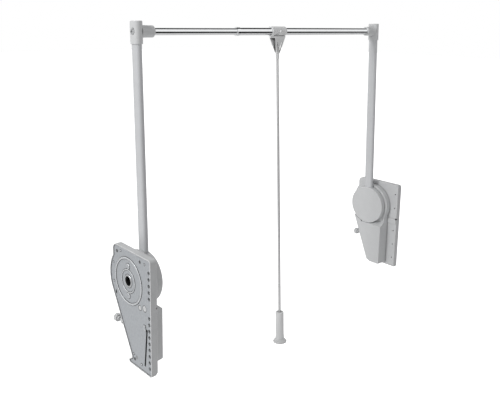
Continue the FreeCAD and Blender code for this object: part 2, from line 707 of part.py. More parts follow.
def make_hub_cap():
    """Snap-in disc face with a short spigot ring, hollow over the screw heads."""
    face = rod_x(DISC_R, DISC_FRONT, CAP_FRONT)
    face = face.makeChamfer(EDGE_SOFT, edges_at_x(face, CAP_FRONT))
    spigot = rod_x(CAP_SPIGOT_R, DISC_FRONT - CAP_SPIGOT_DEEP + SEAT_GAP, DISC_FRONT)
    cavity = rod_x(CAP_SPIGOT_R - CAP_SPIGOT_WALL, 0.0, CAP_FRONT - CAP_SKIN)
    return face.fuse(spigot).cut([cavity, arm_channel(CAP_TUBE_GAP)])


def make_arm_screws():
    """Two pan-head screws that clamp the arm tube in the disc's channel."""
    screws = []
    front = ARM_PLANE + TUBE_THICK / 2
    for z in ARM_SCREW_PLACES:
        head = rod_x(ARM_SCREW_HEAD_R, front, front + ARM_SCREW_HEAD_HIGH, 0.0, z)
        shank = rod_x(ARM_SCREW_R, DISC_BACK, front, 0.0, z)
        screws.append(head.fuse(shank))
    return Part.makeCompound(screws)


def make_crank():
    """Steel lever plate on the barrel's back end, with a lobe out to the crank pin."""
    hub = rod_x(CRANK_HUB_R, CRANK_BACK, CRANK_BACK + CRANK_THICK)
    lobe = rod_x(CRANK_LOBE_R, CRANK_BACK, CRANK_BACK + CRANK_THICK, PIN_Y, PIN_Z)
    spread = math.acos((CRANK_HUB_R - CRANK_LOBE_R) / CRANK_R)
    axis = math.atan2(PIN_Z, PIN_Y)
    points = []
    for side in (-1, 1):
        turn = axis + side * spread
        near = Vec(CRANK_BACK, CRANK_HUB_R * math.cos(turn), CRANK_HUB_R * math.sin(turn))
        far = Vec(CRANK_BACK, PIN_Y + CRANK_LOBE_R * math.cos(turn),
                  PIN_Z + CRANK_LOBE_R * math.sin(turn))
        points += [near, far] if side < 0 else [far, near]
    web = Part.Face(Part.makePolygon(points + [points[0]]))
    web = web.extrude(Vec(CRANK_THICK, 0, 0))
    body = hub.fuse([lobe, web])
    end = CRANK_BACK + CRANK_THICK
    cuts = [rod_x(BUSH_OUT_R, 0.0, end), rod_x(CRANK_PIN_R, 0.0, end, PIN_Y, PIN_Z)]
    return body.cut(cuts).removeSplitter()


def make_crank_pin():
    head = rod_x(CRANK_PIN_R + CRANK_PIN_HEAD, CRANK_BACK - CRANK_PIN_HEAD_HIGH, CRANK_BACK,
                 PIN_Y, PIN_Z)
    pin = rod_x(CRANK_PIN_R, CRANK_BACK, CRANK_PIN_END, PIN_Y, PIN_Z)
    return head.fuse(pin)


def make_stop_buffers():
    """Rubber studs on the axle flange: one stops the raised arm, one the lowered arm."""
    taper = CRANK_HUB_R - CRANK_LOBE_R
    reach = CRANK_LOBE_R + SEAT_GAP + BUFFER_R + taper
    turn = math.degrees(math.asin(reach / CRANK_R) - math.asin(taper / CRANK_R))
    studs = []
    for angle in (CRANK_START - turn, CRANK_START + ARM_SWING + turn):
        y, z = polar(CRANK_R, angle)
        studs.append(rod_x(BUFFER_R, FLANGE_END, FLANGE_END + BUFFER_LENGTH, y, z))
    return Part.makeCompound(studs)


# ---- spring and adjuster ----------------------------------------------------------------
def make_spring():
    """Close-wound pull spring as its coil tube, with a flat eye on the pin at each end."""
    top = Vec(SPRING_PLANE, PIN_Y, PIN_Z)
    foot = Vec(SPRING_PLANE, POST_Y, POST_Z)
    run = foot - top
    length = run.Length
    run.normalize()
    start = top + run * SPRING_CLEAR
    coil_length = length - 2 * SPRING_CLEAR
    coil = Part.makeCylinder(SPRING_R, coil_length, start, run)
    coil = coil.cut(Part.makeCylinder(SPRING_BORE_R, coil_length, start, run))
    parts = [coil]
    back = SPRING_PLANE - SPRING_EYE_THICK / 2
    for pin, sign, pin_r in ((top, 1, CRANK_PIN_R), (foot, -1, POST_R)):
        eye = rod_x(SPRING_EYE_R, back, back + SPRING_EYE_THICK, pin.y, pin.z)
        tab = Part.makeBox(SPRING_EYE_THICK, 2 * SPRING_BORE_R, SPRING_CLEAR + PAST,
                           Vec(back, -SPRING_BORE_R, 0))
        tab.rotate(ORIGIN, X_DIR, math.degrees(math.atan2(-run.y * sign, run.z * sign)))
        tab.translate(Vec(0, pin.y, pin.z))
        plug_start = pin + run * (sign * (SPRING_CLEAR - PAST))
        plug_r = (SPRING_BORE_R + SPRING_R) / 2
        plug = Part.makeCylinder(plug_r, SPRING_PLUG, plug_start, run * sign)
        end = eye.fuse([tab, plug])
        parts.append(end.cut(rod_x(pin_r, 0.0, DRUM_FACE, pin.y, pin.z)))
    return parts[0].fuse(parts[1:])


def make_anchor_lever():
    """Steel lever that holds the spring's lower end; its ear rides on the adjusting screw."""
    front = LEVER_BACK + LEVER_THICK
    spots = ((LEVER_PIVOT_Y, LEVER_PIVOT_Z), (POST_Y, POST_Z),
             (EAR_Y + EAR_THICK / 2, ADJUSTER_Z))
    pieces = [rod_x(EAR_R, LEVER_BACK, front, y, z) for y, z in spots]
    for start, end in zip(spots, spots[1:]):
        bar = strip(start, end, 2 * EAR_R, LEVER_THICK)
        bar.translate(Vec(LEVER_BACK, 0, 0))
        pieces.append(bar)
    pieces.append(rod_x(POST_R, front, CRANK_PIN_END, POST_Y, POST_Z))
    pieces.append(Part.makeBox(ADJUSTER_DEPTH + EAR_R - front, EAR_THICK, 2 * EAR_R,
                               Vec(front, EAR_Y, ADJUSTER_Z - EAR_R)))
    body = pieces[0].fuse(pieces[1:])
    body = body.cut([rod_x(PIVOT_R, 0.0, front, LEVER_PIVOT_Y, LEVER_PIVOT_Z),
                     rod_y(SPINDLE_R + RUNNING_FIT, EAR_Y - PAST, EAR_Y + EAR_THICK + PAST,
                           ADJUSTER_DEPTH, ADJUSTER_Z)])
    return body.removeSplitter()


def make_lever_pivot():
    """Pin pressed in the plate, flush with its face, and riveted over the lever."""
    front = LEVER_BACK + LEVER_THICK
    shank = rod_x(PIVOT_R, PLATE_RECESS, front, LEVER_PIVOT_Y, LEVER_PIVOT_Z)
    tail = rod_x(PIVOT_R + PIVOT_TAIL, front, front + PIVOT_TAIL_HIGH,
                 LEVER_PIVOT_Y, LEVER_PIVOT_Z)
    return shank.fuse(tail)


def make_adjuster_bush():
    """Collared bush in the cover's sloping wall that carries the adjusting screw."""
    tube = rod_y(BUSH_R, BUSH_START, BUSH_END, ADJUSTER_DEPTH, ADJUSTER_Z)
    collar = rod_y(COLLAR_R, BUSH_END - COLLAR_THICK, BUSH_END, ADJUSTER_DEPTH, ADJUSTER_Z)
    bore = rod_y(SPINDLE_R + RUNNING_FIT, BUSH_START - PAST, BUSH_END + PAST,
                 ADJUSTER_DEPTH, ADJUSTER_Z)
    return tube.fuse(collar).cut(bore)


def make_adjuster_screw():
    start = EAR_Y + SPINDLE_START
    end = KNOB_START + KNOB_BORE_DEEP
    return rod_y(SPINDLE_R, start, end, ADJUSTER_DEPTH, ADJUSTER_Z)


def make_adjuster_knob():
    """Fluted thumb knob with a neck, pressed on the adjusting screw."""
    end = KNOB_START + KNOB_LENGTH
    outline = [Vec(0, KNOB_START, 0), Vec(KNOB_R - KNOB_SOFT, KNOB_START, 0),
               Vec(KNOB_R, KNOB_START + KNOB_SOFT, 0), Vec(KNOB_R, end - KNOB_SOFT, 0),
               Vec(KNOB_R - KNOB_SOFT, end, 0), Vec(0, end, 0)]
    knob = spun(outline, ORIGIN, Y_DIR)
    neck = rod_y(KNOB_NECK_R, KNOB_START - KNOB_NECK_LENGTH, KNOB_START)
    cuts = [rod_y(SPINDLE_R, 0.0, KNOB_START + KNOB_BORE_DEEP)]
    for index in range(KNOB_FLUTES):
        turn = 2 * math.pi * index / KNOB_FLUTES
        x = (KNOB_R + FLUTE_OUT) * math.cos(turn)
        z = (KNOB_R + FLUTE_OUT) * math.sin(turn)
        cuts.append(rod_y(FLUTE_R, KNOB_START - PAST, end + PAST, x, z))
    body = knob.fuse(neck).cut(cuts)
    body.translate(Vec(ADJUSTER_DEPTH, 0, ADJUSTER_Z))
    return body


# ---- arm and rail bracket -----------------------------------------------------------------
def make_arm_tube():
    """Flat-oval tube from the hub disc up into the rail bracket."""
    top = ARM_LENGTH + TUBE_TOP
    outside = stadium(TUBE_WIDE, TUBE_THICK, SOCKET_START, top, ARM_PLANE)
    bore = stadium(TUBE_WIDE - 2 * TUBE_WALL, TUBE_THICK - 2 * TUBE_WALL,
                   SOCKET_START - PAST, top + PAST, ARM_PLANE)
    far_side = ARM_PLANE + TUBE_THICK
    cuts = [bore, rod_x(BRACKET_SCREW_R, 0.0, far_side, 0.0, ARM_LENGTH)]
    for z in ARM_SCREW_PLACES:
        cuts.append(rod_x(ARM_SCREW_R, 0.0, far_side, 0.0, z))
    return outside.cut(cuts)


def bracket_socket_profile():
    """Half section of the horizontal socket: concave from a wide root to its mouth."""
    root = ARM_PLANE + TUBE_THICK / 2
    end = ARM_PLANE + RAIL_SOCKET_END
    points = [Vec(root, 0, ARM_LENGTH)]
    waist = ARM_PLANE + BRACKET_HALF + RAIL_SOCKET_RUN
    for index in range(SOCKET_STEPS + 1):
        share = index / SOCKET_STEPS
        x = root + (waist - root) * share
        radius = RAIL_SOCKET_R + (RAIL_SOCKET_ROOT_R - RAIL_SOCKET_R) * (1 - share) ** 2
        points.append(Vec(x, 0, ARM_LENGTH + radius))
    points.append(Vec(end - RAIL_SOCKET_CHAMFER, 0, ARM_LENGTH + RAIL_SOCKET_R))
    points.append(Vec(end, 0, ARM_LENGTH + RAIL_SOCKET_R - RAIL_SOCKET_CHAMFER))
    points.append(Vec(end, 0, ARM_LENGTH))
    return points


def make_bracket(rail_r):
    """Moulded corner piece: cap over the arm tube and socket for the rail's end."""
    top = ARM_LENGTH + BRACKET_TOP
    bottom = ARM_LENGTH + BRACKET_BOTTOM
    wide = TUBE_WIDE + 2 * BRACKET_WALL
    thick = TUBE_THICK + 2 * BRACKET_WALL
    post = stadium(wide, thick, bottom, top, ARM_PLANE)
    post = post.makeChamfer(EDGE_SOFT, edges_at_z(post, top))
    socket = spun(bracket_socket_profile(), Vec(0, 0, ARM_LENGTH), X_DIR)
    body = post.fuse(socket)
    tube_space = stadium(TUBE_WIDE, TUBE_THICK, bottom - PAST, ARM_LENGTH + TUBE_TOP, ARM_PLANE)
    mouth = ARM_PLANE + RAIL_SOCKET_END
    rail_space = rod_x(rail_r, ARM_PLANE + SOCKET_FLOOR, mouth + PAST, 0.0, ARM_LENGTH)
    screw_space = rod_x(BRACKET_SCREW_R, 0.0, mouth, 0.0, ARM_LENGTH)
    head_space = rod_x(BRACKET_HEAD_R + HEAD_GAP, 0.0, HEAD_SEAT, 0.0, ARM_LENGTH)
    return body.cut([tube_space, rail_space, screw_space, head_space])


def make_bracket_screw():
    """Large pan-head cross-recess screw through bracket and tube into the rail's plug."""
    top = HEAD_SEAT - BRACKET_HEAD_HIGH
    head = rod_x(BRACKET_HEAD_R, top, HEAD_SEAT, 0.0, ARM_LENGTH)
    head = head.makeChamfer(BRACKET_HEAD_SOFT, edges_at_x(head, top))
    shank = rod_x(BRACKET_SCREW_R, HEAD_SEAT, ARM_PLANE + SOCKET_FLOOR + PLUG_LENGTH,
                  0.0, ARM_LENGTH)
    recess = []
    for wide, tall in ((CROSS_WIDE, CROSS_LENGTH), (CROSS_LENGTH, CROSS_WIDE)):
        corner = Vec(top, -wide / 2, ARM_LENGTH - tall / 2)
        recess.append(Part.makeBox(CROSS_DEEP, wide, tall, corner))
    return head.fuse(shank).cut(recess)


def make_rail_plug(bore_r):
    """Plug in the end of the rail that the bracket screw bites in."""
    start = ARM_PLANE + SOCKET_FLOOR
    plug = rod_x(bore_r, start, start + PLUG_DEPTH, 0.0, ARM_LENGTH)
    return plug.cut(rod_x(BRACKET_SCREW_R, start, start + PLUG_LENGTH, 0.0, ARM_LENGTH))


# ---- rail, sleeve and handle --------------------------------------------------------------
def make_outer_tube():
    return ring_x(OUTER_TUBE_R, OUTER_TUBE_R - RAIL_WALL, RAIL_STEP, ARM_X - SOCKET_FLOOR)


def make_inner_tube():
    return ring_x(INNER_TUBE_R, INNER_TUBE_R - RAIL_WALL, SOCKET_FLOOR - ARM_X,
                  INNER_TUBE_END)


def make_rail_collar():
    """Lipped ring on the outer tube's open end."""
    start = RAIL_STEP - COLLAR_FRONT
    end = RAIL_STEP + COLLAR_LIP_LENGTH
    lip = rod_x(OUTER_TUBE_R + COLLAR_LIP, start, end)
    lip = lip.makeChamfer(COLLAR_SOFT, edges_at_x(lip, start) + edges_at_x(lip, end))
    bore = rod_x(INNER_TUBE_R + SEAT_GAP, start - PAST, RAIL_STEP)
    return lip.cut([bore, rod_x(OUTER_TUBE_R, RAIL_STEP, end + PAST)])


def make_rail_glide():
    """Plastic plug with a guide head in the inner tube's end; it runs in the outer tube."""
    bore = OUTER_TUBE_R - RAIL_WALL
    head = rod_x(bore - RUNNING_FIT * 2, INNER_TUBE_END, INNER_TUBE_END + GLIDE_HEAD)
    stem = rod_x(INNER_TUBE_R - RAIL_WALL, INNER_TUBE_END - GLIDE_LENGTH, INNER_TUBE_END)
    return head.fuse(stem)


def make_sleeve():
    """Bush on the rail that carries the handle's yoke."""
    start = HANDLE_X - SLEEVE_LENGTH / 2
    end = HANDLE_X + SLEEVE_LENGTH / 2
    body = rod_x(SLEEVE_R, start, end)
    body = body.makeChamfer(SLEEVE_CHAMFER, edges_at_x(body, start) + edges_at_x(body, end))
    return body.cut(rod_x(OUTER_TUBE_R + SEAT_GAP, start - PAST, end + PAST))


def plate_from(points, depth):
    """Flat piece seen from the front, centred on the rail's axis in depth."""
    outline = [Vec(x, -depth / 2, z) for x, z in points]
    return Part.Face(Part.makePolygon(outline + outline[:1])).extrude(Vec(0, depth, 0))


def oblong(x_low, x_high, y_half, z):
    corners = [Vec(x_low, -y_half, z), Vec(x_high, -y_half, z), Vec(x_high, y_half, z),
               Vec(x_low, y_half, z)]
    return Part.makePolygon(corners + corners[:1])


def yoke_frame():
    """Tapering frame under the sleeve, hollowed from both sides to its plates and rib."""
    top = -SLEEVE_R
    frame = Part.makeLoft([oblong(-YOKE_HALF, YOKE_HALF, YOKE_FRAME_DEPTH, top),
                           oblong(-YOKE_LOW, YOKE_LOW, YOKE_LOW, YOKE_NECK)], True, True)
    pockets = []
    for side in (-1, 1):
        near = side * RIB_HALF
        far = side * (YOKE_HALF + PAST)
        pockets.append(Part.makeLoft(
            [oblong(near, far, YOKE_FRAME_DEPTH - YOKE_SKIN, YOKE_TOP),
             oblong(near, far, YOKE_LOW - YOKE_SKIN / 2, YOKE_NECK + WINDOW_RISE)], True, True))
    return frame.cut(pockets)


def yoke_window(side):
    """Opening in the front plate between a side strut and the middle rib."""
    inner = side * RIB_HALF
    points = [(inner + side * WINDOW_OUT, WINDOW_TOP), (inner + side * WINDOW_IN, WINDOW_TOP),
              (inner, WINDOW_KNEE), (inner, YOKE_NECK + WINDOW_RISE),
              (inner + side * WINDOW_FOOT, YOKE_NECK + WINDOW_RISE)]
    opening = plate_from(points, 2 * YOKE_FRAME_DEPTH)
    opening.translate(Vec(0, -YOKE_FRAME_DEPTH, 0))
    return opening


def yoke_clip():
    """Half shells round the sleeve, cut to a pointed tongue in front and one behind."""
    shell = rod_x(YOKE_BORE_R + YOKE_SHELL, -YOKE_HALF, YOKE_HALF)
    waist_x, waist_up = YOKE_WAIST
    arrow = []
    for side in (-1, 1):
        edge = [(side * YOKE_HALF, -SLEEVE_R - YOKE_SHELL), (side * YOKE_HALF, YOKE_TOP + waist_up),
                (side * waist_x, YOKE_TOP + 2 * waist_up), (side * YOKE_TIP_HALF, YOKE_TIP)]
        arrow += edge if side < 0 else edge[::-1]
    return shell.common(plate_from(arrow, 2 * (YOKE_BORE_R + YOKE_SHELL)))


def make_yoke():
    """Clip-on yoke: two pointed tongues grip the sleeve, struts run down to the rod socket."""
    socket = rod_z(SOCKET_R, SOCKET_END, YOKE_NECK + WINDOW_RISE)
    socket = socket.makeChamfer(SOCKET_SOFT, edges_at_z(socket, SOCKET_END))
    stem = rod_z(HANDLE_ROD_R + HOLE_WALL, YOKE_NECK, SOCKET_BLIND + HOLE_WALL)
    body = yoke_frame().fuse([yoke_clip(), socket])
    body = body.cut([yoke_window(-1), yoke_window(1)])
    cuts = [rod_x(YOKE_BORE_R, -YOKE_HALF - PAST, YOKE_HALF + PAST),
            rod_z(HANDLE_ROD_R, SOCKET_END - PAST, SOCKET_BLIND)]
    return body.fuse(stem).cut(cuts)


def make_handle_rod():
    return rod_z(HANDLE_ROD_R, GRIP_TOP - ROD_IN_GRIP, SOCKET_BLIND)


def make_grip():
    """Slim plastic grip, a little thicker at its lower end, open round the rod at its top."""
    swell = GRIP_BOTTOM + GRIP_SWELL_RUN
    floor = GRIP_TOP - GRIP_RECESS
    points = [Vec(0, 0, GRIP_BOTTOM), Vec(GRIP_R_LOW, 0, GRIP_BOTTOM), Vec(GRIP_R_LOW, 0, swell),
              Vec(GRIP_R, 0, swell + GRIP_SWELL_RUN), Vec(GRIP_R, 0, GRIP_TOP - GRIP_SOFT),
              Vec(GRIP_R - GRIP_SOFT, 0, GRIP_TOP), Vec(GRIP_R - GRIP_RIM, 0, GRIP_TOP),
              Vec(GRIP_R - GRIP_RIM, 0, floor), Vec(0, 0, floor)]
    body = spun(points, ORIGIN, Z_DIR)
    return body.cut([rod_z(HANDLE_ROD_R, GRIP_TOP - ROD_IN_GRIP, GRIP_TOP),
                     rod_z(SKIRT_PEG_R, GRIP_BOTTOM, GRIP_BOTTOM + SKIRT_PEG_LENGTH)])


def make_skirt():
    """Flared end cap, hollow below, with notches round its edge; its peg sits in the grip."""
    rim = HANDLE_END + SKIRT_RIM
    top = GRIP_R_LOW + SKIRT_LIP
    flare = [Vec(0, 0, GRIP_BOTTOM), Vec(top, 0, GRIP_BOTTOM), Vec(SKIRT_R, 0, rim),
             Vec(SKIRT_R, 0, HANDLE_END), Vec(SKIRT_R - SKIRT_WALL, 0, HANDLE_END),
             Vec(SKIRT_R - SKIRT_WALL, 0, rim - SKIRT_WALL / 2),
             Vec(top - SKIRT_WALL, 0, GRIP_BOTTOM - SKIRT_WALL), Vec(0, 0, GRIP_BOTTOM - SKIRT_WALL)]
    body = spun(flare, ORIGIN, Z_DIR)
    notches = []
    for index in range(SKIRT_NOTCHES):
        turn = 2 * math.pi * index / SKIRT_NOTCHES
        out = Vec(math.cos(turn), math.sin(turn), 0)
        centre = out * (SKIRT_R + SKIRT_NOTCH_OUT)
        notches.append(rod_z(SKIRT_NOTCH_R, HANDLE_END - PAST, GRIP_BOTTOM, centre.x, centre.y))
    peg = rod_z(SKIRT_PEG_R, GRIP_BOTTOM - SKIRT_WALL, GRIP_BOTTOM + SKIRT_PEG_LENGTH)
    return body.cut(notches).fuse(peg)


# ---- assembly ---------------------------------------------------------------------------
def save(name, shape):
    shape.exportStep("parts/" + name + ".step")


def on_side(shape, side):
    """Place a wall unit's piece: the right unit is the left one's mirror image."""
    placed = shape.copy()
    placed.translate(Vec(-HALF_WIDTH, HUB_Y, HUB_Z))
    return placed.mirror(ORIGIN, X_DIR) if side == "right" else placed


def leaned(shape):
    placed = shape.copy()
    placed.rotate(ORIGIN, X_DIR, -ARM_LEAN)
    return placed


def hung(shape):
    """Place a handle piece: it leans towards the user and hangs from the sleeve."""
    placed = shape.copy()
    placed.rotate(ORIGIN, X_DIR, -HANDLE_LEAN)
    placed.translate(Vec(HANDLE_X, 0, 0))
    return placed


def build_wall_unit():
    return {
        "cover": make_cover(),
        "mounting_plate": make_plate(),
        "plate_rivets": make_rivets(),
        "cover_screws": make_cover_screws(),
        "hub_axle": make_axle(),
        "retaining_ring": make_circlip(),
        "stop_buffers": make_stop_buffers(),
        "lift_spring": make_spring(),
        "anchor_lever": make_anchor_lever(),
        "lever_pivot": make_lever_pivot(),
        "adjuster_bush": make_adjuster_bush(),
        "adjuster_screw": make_adjuster_screw(),
        "adjuster_knob": make_adjuster_knob(),
        "crank_lever": make_crank(),
        "crank_pin": make_crank_pin(),
        "hub_bush": make_bush(),
    }


def build_arm():
    return {
        "hub_disc": make_hub_disc(),
        "hub_cap": make_hub_cap(),
        "arm_screws": make_arm_screws(),
        "arm_tube": make_arm_tube(),
        "bracket_screw": make_bracket_screw(),
    }


def build_rail():
    return {
        "outer_rail_tube": make_outer_tube(),
        "inner_rail_tube": make_inner_tube(),
        "rail_collar": make_rail_collar(),
        "rail_glide": make_rail_glide(),
        "handle_sleeve": make_sleeve(),
    }


def build_handle():
    return {
        "handle_yoke": make_yoke(),
        "handle_rod": make_handle_rod(),
        "handle_grip": make_grip(),
        "grip_skirt": make_skirt(),
    }


os.makedirs("parts", exist_ok=True)
rail_end_r = {"left": INNER_TUBE_R, "right": OUTER_TUBE_R}
wall_unit = build_wall_unit()
arm = build_arm()
for side in ("left", "right"):
    for name, shape in wall_unit.items():
        save(side + "_" + name, on_side(shape, side))
    for name, shape in arm.items():
        save(side + "_" + name, on_side(leaned(shape), side))
    end_r = rail_end_r[side]
    save(side + "_rail_bracket", on_side(leaned(make_bracket(end_r)), side))
    save(side + "_rail_plug", on_side(leaned(make_rail_plug(end_r - RAIL_WALL)), side))
for name, shape in build_rail().items():
    save(name, shape)
for name, shape in build_handle().items():
    save(name, hung(shape))
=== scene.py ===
import math

import bmesh
import bpy
import numpy as np
from mathutils import Matrix, Vector


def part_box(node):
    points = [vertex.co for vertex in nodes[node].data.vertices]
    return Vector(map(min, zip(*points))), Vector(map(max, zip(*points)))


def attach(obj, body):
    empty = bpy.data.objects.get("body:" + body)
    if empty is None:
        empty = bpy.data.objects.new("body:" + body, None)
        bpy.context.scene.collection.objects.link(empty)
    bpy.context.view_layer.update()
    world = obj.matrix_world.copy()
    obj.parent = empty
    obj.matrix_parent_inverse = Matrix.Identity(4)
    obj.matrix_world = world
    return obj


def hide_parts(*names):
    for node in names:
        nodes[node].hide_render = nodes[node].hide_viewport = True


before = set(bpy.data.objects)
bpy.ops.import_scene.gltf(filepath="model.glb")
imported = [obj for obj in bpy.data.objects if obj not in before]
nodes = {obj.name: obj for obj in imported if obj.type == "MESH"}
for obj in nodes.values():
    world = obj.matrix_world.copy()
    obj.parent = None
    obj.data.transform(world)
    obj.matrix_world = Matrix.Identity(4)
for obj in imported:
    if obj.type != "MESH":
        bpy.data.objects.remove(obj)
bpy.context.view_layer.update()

scene = bpy.context.scene

# ---- View ---------------------------------------------------------------------------------
# The camera stands in front of the rail and to its left, a little above it, and looks
# down at the whole set: both wall units, the rail and the hanging handle.
VIEW_PLACE = (-1.2303, -1.2057, 0.0311)
VIEW_AZIMUTH = math.radians(-43.287)
VIEW_HEIGHT = math.radians(10.773)
VIEW_ROLL = math.radians(0.985)
VIEW_LENS = 43.706
VIEW_SENSOR = 36.0
VIEW_SHIFT = -0.13
VIEW_REACH = 60.0


def view_axes(azimuth, height, roll):
    """Right, up and back directions: turned round Z, tilted by the height, then rolled round back."""
    back = np.array([math.sin(azimuth) * math.cos(height), -math.cos(azimuth) * math.cos(height),
                     math.sin(height)])
    level = np.array([math.cos(azimuth), math.sin(azimuth), 0.0])
    right = level * math.cos(roll) + np.cross(back, level) * math.sin(roll)
    return np.column_stack([right, np.cross(back, right), back])


view = bpy.data.objects.new("view", bpy.data.cameras.new("view"))
view.data.lens = VIEW_LENS
view.data.sensor_width = VIEW_SENSOR
view.data.shift_y = VIEW_SHIFT
view.data.clip_end = VIEW_REACH
placed = np.eye(4)
placed[:3, :3] = view_axes(VIEW_AZIMUTH, VIEW_HEIGHT, VIEW_ROLL)
placed[:3, 3] = VIEW_PLACE
view.matrix_world = Matrix(placed.tolist())
scene.collection.objects.link(view)
scene.camera = view
scene.view_settings.view_transform = "Standard"

# ---- Studio -------------------------------------------------------------------------------
# A white paper floor under the hanging handle, a white room, a soft key lamp far to the left
# and a weak one overhead. Two long black boards, seen only by glossy surfaces, draw the dark
# lines on polished tube.
FLOOR_Z = -1.85
FLOOR_REACH = 30.0
FLOOR_GLOW = (0.12, 1.0)
PAPER_TINT = (0.92, 0.92, 0.92, 1)
BOARD_TINT = (0.01, 0.01, 0.01, 1)
WHITE = (1, 1, 1, 1)
ROOM_LIGHT = 0.34
ROOM_GLOSS = 1.0
BOARDS = {"upper_board": [(-6, -0.70, 1.5), (9, -0.70, 1.5), (9, 0.75, 1.5), (-6, 0.75, 1.5)],
          "lower_board": [(-1, -1.30, -0.12), (5, -1.20, -0.42), (5, -0.80, -0.86), (-1, -0.52, -0.90)]}
LAMP_AIM = (0, 0, -0.4)
LAMPS = {"key_lamp": ((-5.6, 0.9, 3.2), 1.6, 225),
         "high_lamp": ((0.3, -0.8, 3.0), 1.5, 12)}


def patch(name, corners):
    """Flat four-cornered sheet from its corners, given in order round its edge."""
    mesh = bpy.data.meshes.new(name)
    mesh.from_pydata([tuple(c) for c in corners], [], [(0, 1, 2, 3)])
    made = bpy.data.objects.new(name, mesh)
    scene.collection.objects.link(made)
    return made


def soft_lamp(name, place, aim, size, power):
    """Square area lamp at a place, turned towards its aim."""
    lamp = bpy.data.objects.new(name, bpy.data.lights.new(name, "AREA"))
    lamp.data.size = size
    lamp.data.energy = power
    lamp.location = place
    lamp.rotation_euler = (Vector(aim) - Vector(place)).to_track_quat("-Z", "Y").to_euler()
    scene.collection.objects.link(lamp)


floor = patch("floor", [(-FLOOR_REACH, -FLOOR_REACH, FLOOR_Z), (FLOOR_REACH, -FLOOR_REACH, FLOOR_Z),
                        (FLOOR_REACH, FLOOR_REACH, FLOOR_Z), (-FLOOR_REACH, FLOOR_REACH, FLOOR_Z)])
paper = bpy.data.materials.new("studio_paper")
paper.use_nodes = True
sheet = paper.node_tree.nodes["Principled BSDF"]
sheet.inputs["Base Color"].default_value = PAPER_TINT
sheet.inputs["Roughness"].default_value = 1.0
sheet.inputs["Emission Color"].default_value = WHITE
seen = paper.node_tree.nodes.new("ShaderNodeLightPath")
glow = paper.node_tree.nodes.new("ShaderNodeMapRange")
glow.inputs["To Min"].default_value, glow.inputs["To Max"].default_value = FLOOR_GLOW
paper.node_tree.links.new(seen.outputs["Is Camera Ray"], glow.inputs["Value"])
paper.node_tree.links.new(glow.outputs["Result"], sheet.inputs["Emission Strength"])
floor.data.materials.append(paper)

black = bpy.data.materials.new("board_black")
black.use_nodes = True
black.node_tree.nodes["Principled BSDF"].inputs["Base Color"].default_value = BOARD_TINT
black.node_tree.nodes["Principled BSDF"].inputs["Roughness"].default_value = 1.0
for name, corners in BOARDS.items():
    board = patch(name, corners)
    board.data.materials.append(black)
    board.visible_camera = False
    board.visible_diffuse = False
    board.visible_shadow = False

world = bpy.data.worlds.new("room")
scene.world = world
world.use_nodes = True
room = world.node_tree
sight = room.nodes.new("ShaderNodeLightPath")
mirrored = room.nodes.new("ShaderNodeMapRange")
mirrored.inputs["To Min"].default_value = ROOM_LIGHT
mirrored.inputs["To Max"].default_value = ROOM_GLOSS
shown = room.nodes.new("ShaderNodeMapRange")
shown.inputs["To Max"].default_value = 1.0
room.links.new(sight.outputs["Is Glossy Ray"], mirrored.inputs["Value"])
room.links.new(sight.outputs["Is Camera Ray"], shown.inputs["Value"])
room.links.new(mirrored.outputs["Result"], shown.inputs["To Min"])
room.links.new(shown.outputs["Result"], room.nodes["Background"].inputs["Strength"])
room.nodes["Background"].inputs["Color"].default_value = WHITE

for name, (place, size, power) in LAMPS.items():
    soft_lamp(name, place, LAMP_AIM, size, power)

# ---- Covers -------------------------------------------------------------------------------
# Two mirrored housings of light grey ABS, injection moulded with a fine spark-eroded grain.
# Each one is screwed to its mounting plate, and closes the spring work behind it.
COVER_TINTS = ((0.57, 0.578, 0.585), (0.63, 0.638, 0.645))
# Tint of edge wear and painted highlight on the covers' edges.
COVER_WORN_HIGHLIGHT = (0.88, 0.885, 0.89)
COVER_ROUGH = (0.42, 0.55)
COVER_GRAIN = 2600.0
SHARP_EDGE = math.radians(28)
SAME_POINT = 1e-6


def merged_copy(name, node):
    """Copy of a solid with its loose triangles merged and its gentle edges shaded as one surface."""
    mesh = nodes[node].data.copy()
    if "custom_normal" in mesh.attributes:
        mesh.attributes.remove(mesh.attributes["custom_normal"])
    work = bmesh.new()
    work.from_mesh(mesh)
    bmesh.ops.remove_doubles(work, verts=work.verts, dist=SAME_POINT)
    work.to_mesh(mesh)
    work.free()
    mesh.shade_smooth()
    mesh.set_sharp_from_angle(angle=SHARP_EDGE)
    mesh.materials.clear()
    piece = bpy.data.objects.new(name, mesh)
    scene.collection.objects.link(piece)
    return piece


def effect(name, inputs, outputs):
    """Shader node group with named number inputs and named outputs, and its two end nodes."""
    tree = bpy.data.node_groups.new(name, "ShaderNodeTree")
    for label, value in inputs.items():
        socket = tree.interface.new_socket(label, in_out="INPUT", socket_type="NodeSocketFloat")
        socket.default_value = value
    for label, kind in outputs.items():
        tree.interface.new_socket(label, in_out="OUTPUT", socket_type=kind)
    return tree, tree.nodes.new("NodeGroupInput"), tree.nodes.new("NodeGroupOutput")


def shader(tree, kind, settings=None, **inputs):
    """One node of a kind, with its settings, and with its inputs linked to sockets or set to values."""
    made = tree.nodes.new(kind)
    for key, value in (settings or {}).items():
        setattr(made, key, value)
    for key, value in inputs.items():
        socket = made.inputs[key.replace("_", " ")]
        if isinstance(value, bpy.types.NodeSocket):
            tree.links.new(value, socket)
        else:
            socket.default_value = value
    return made


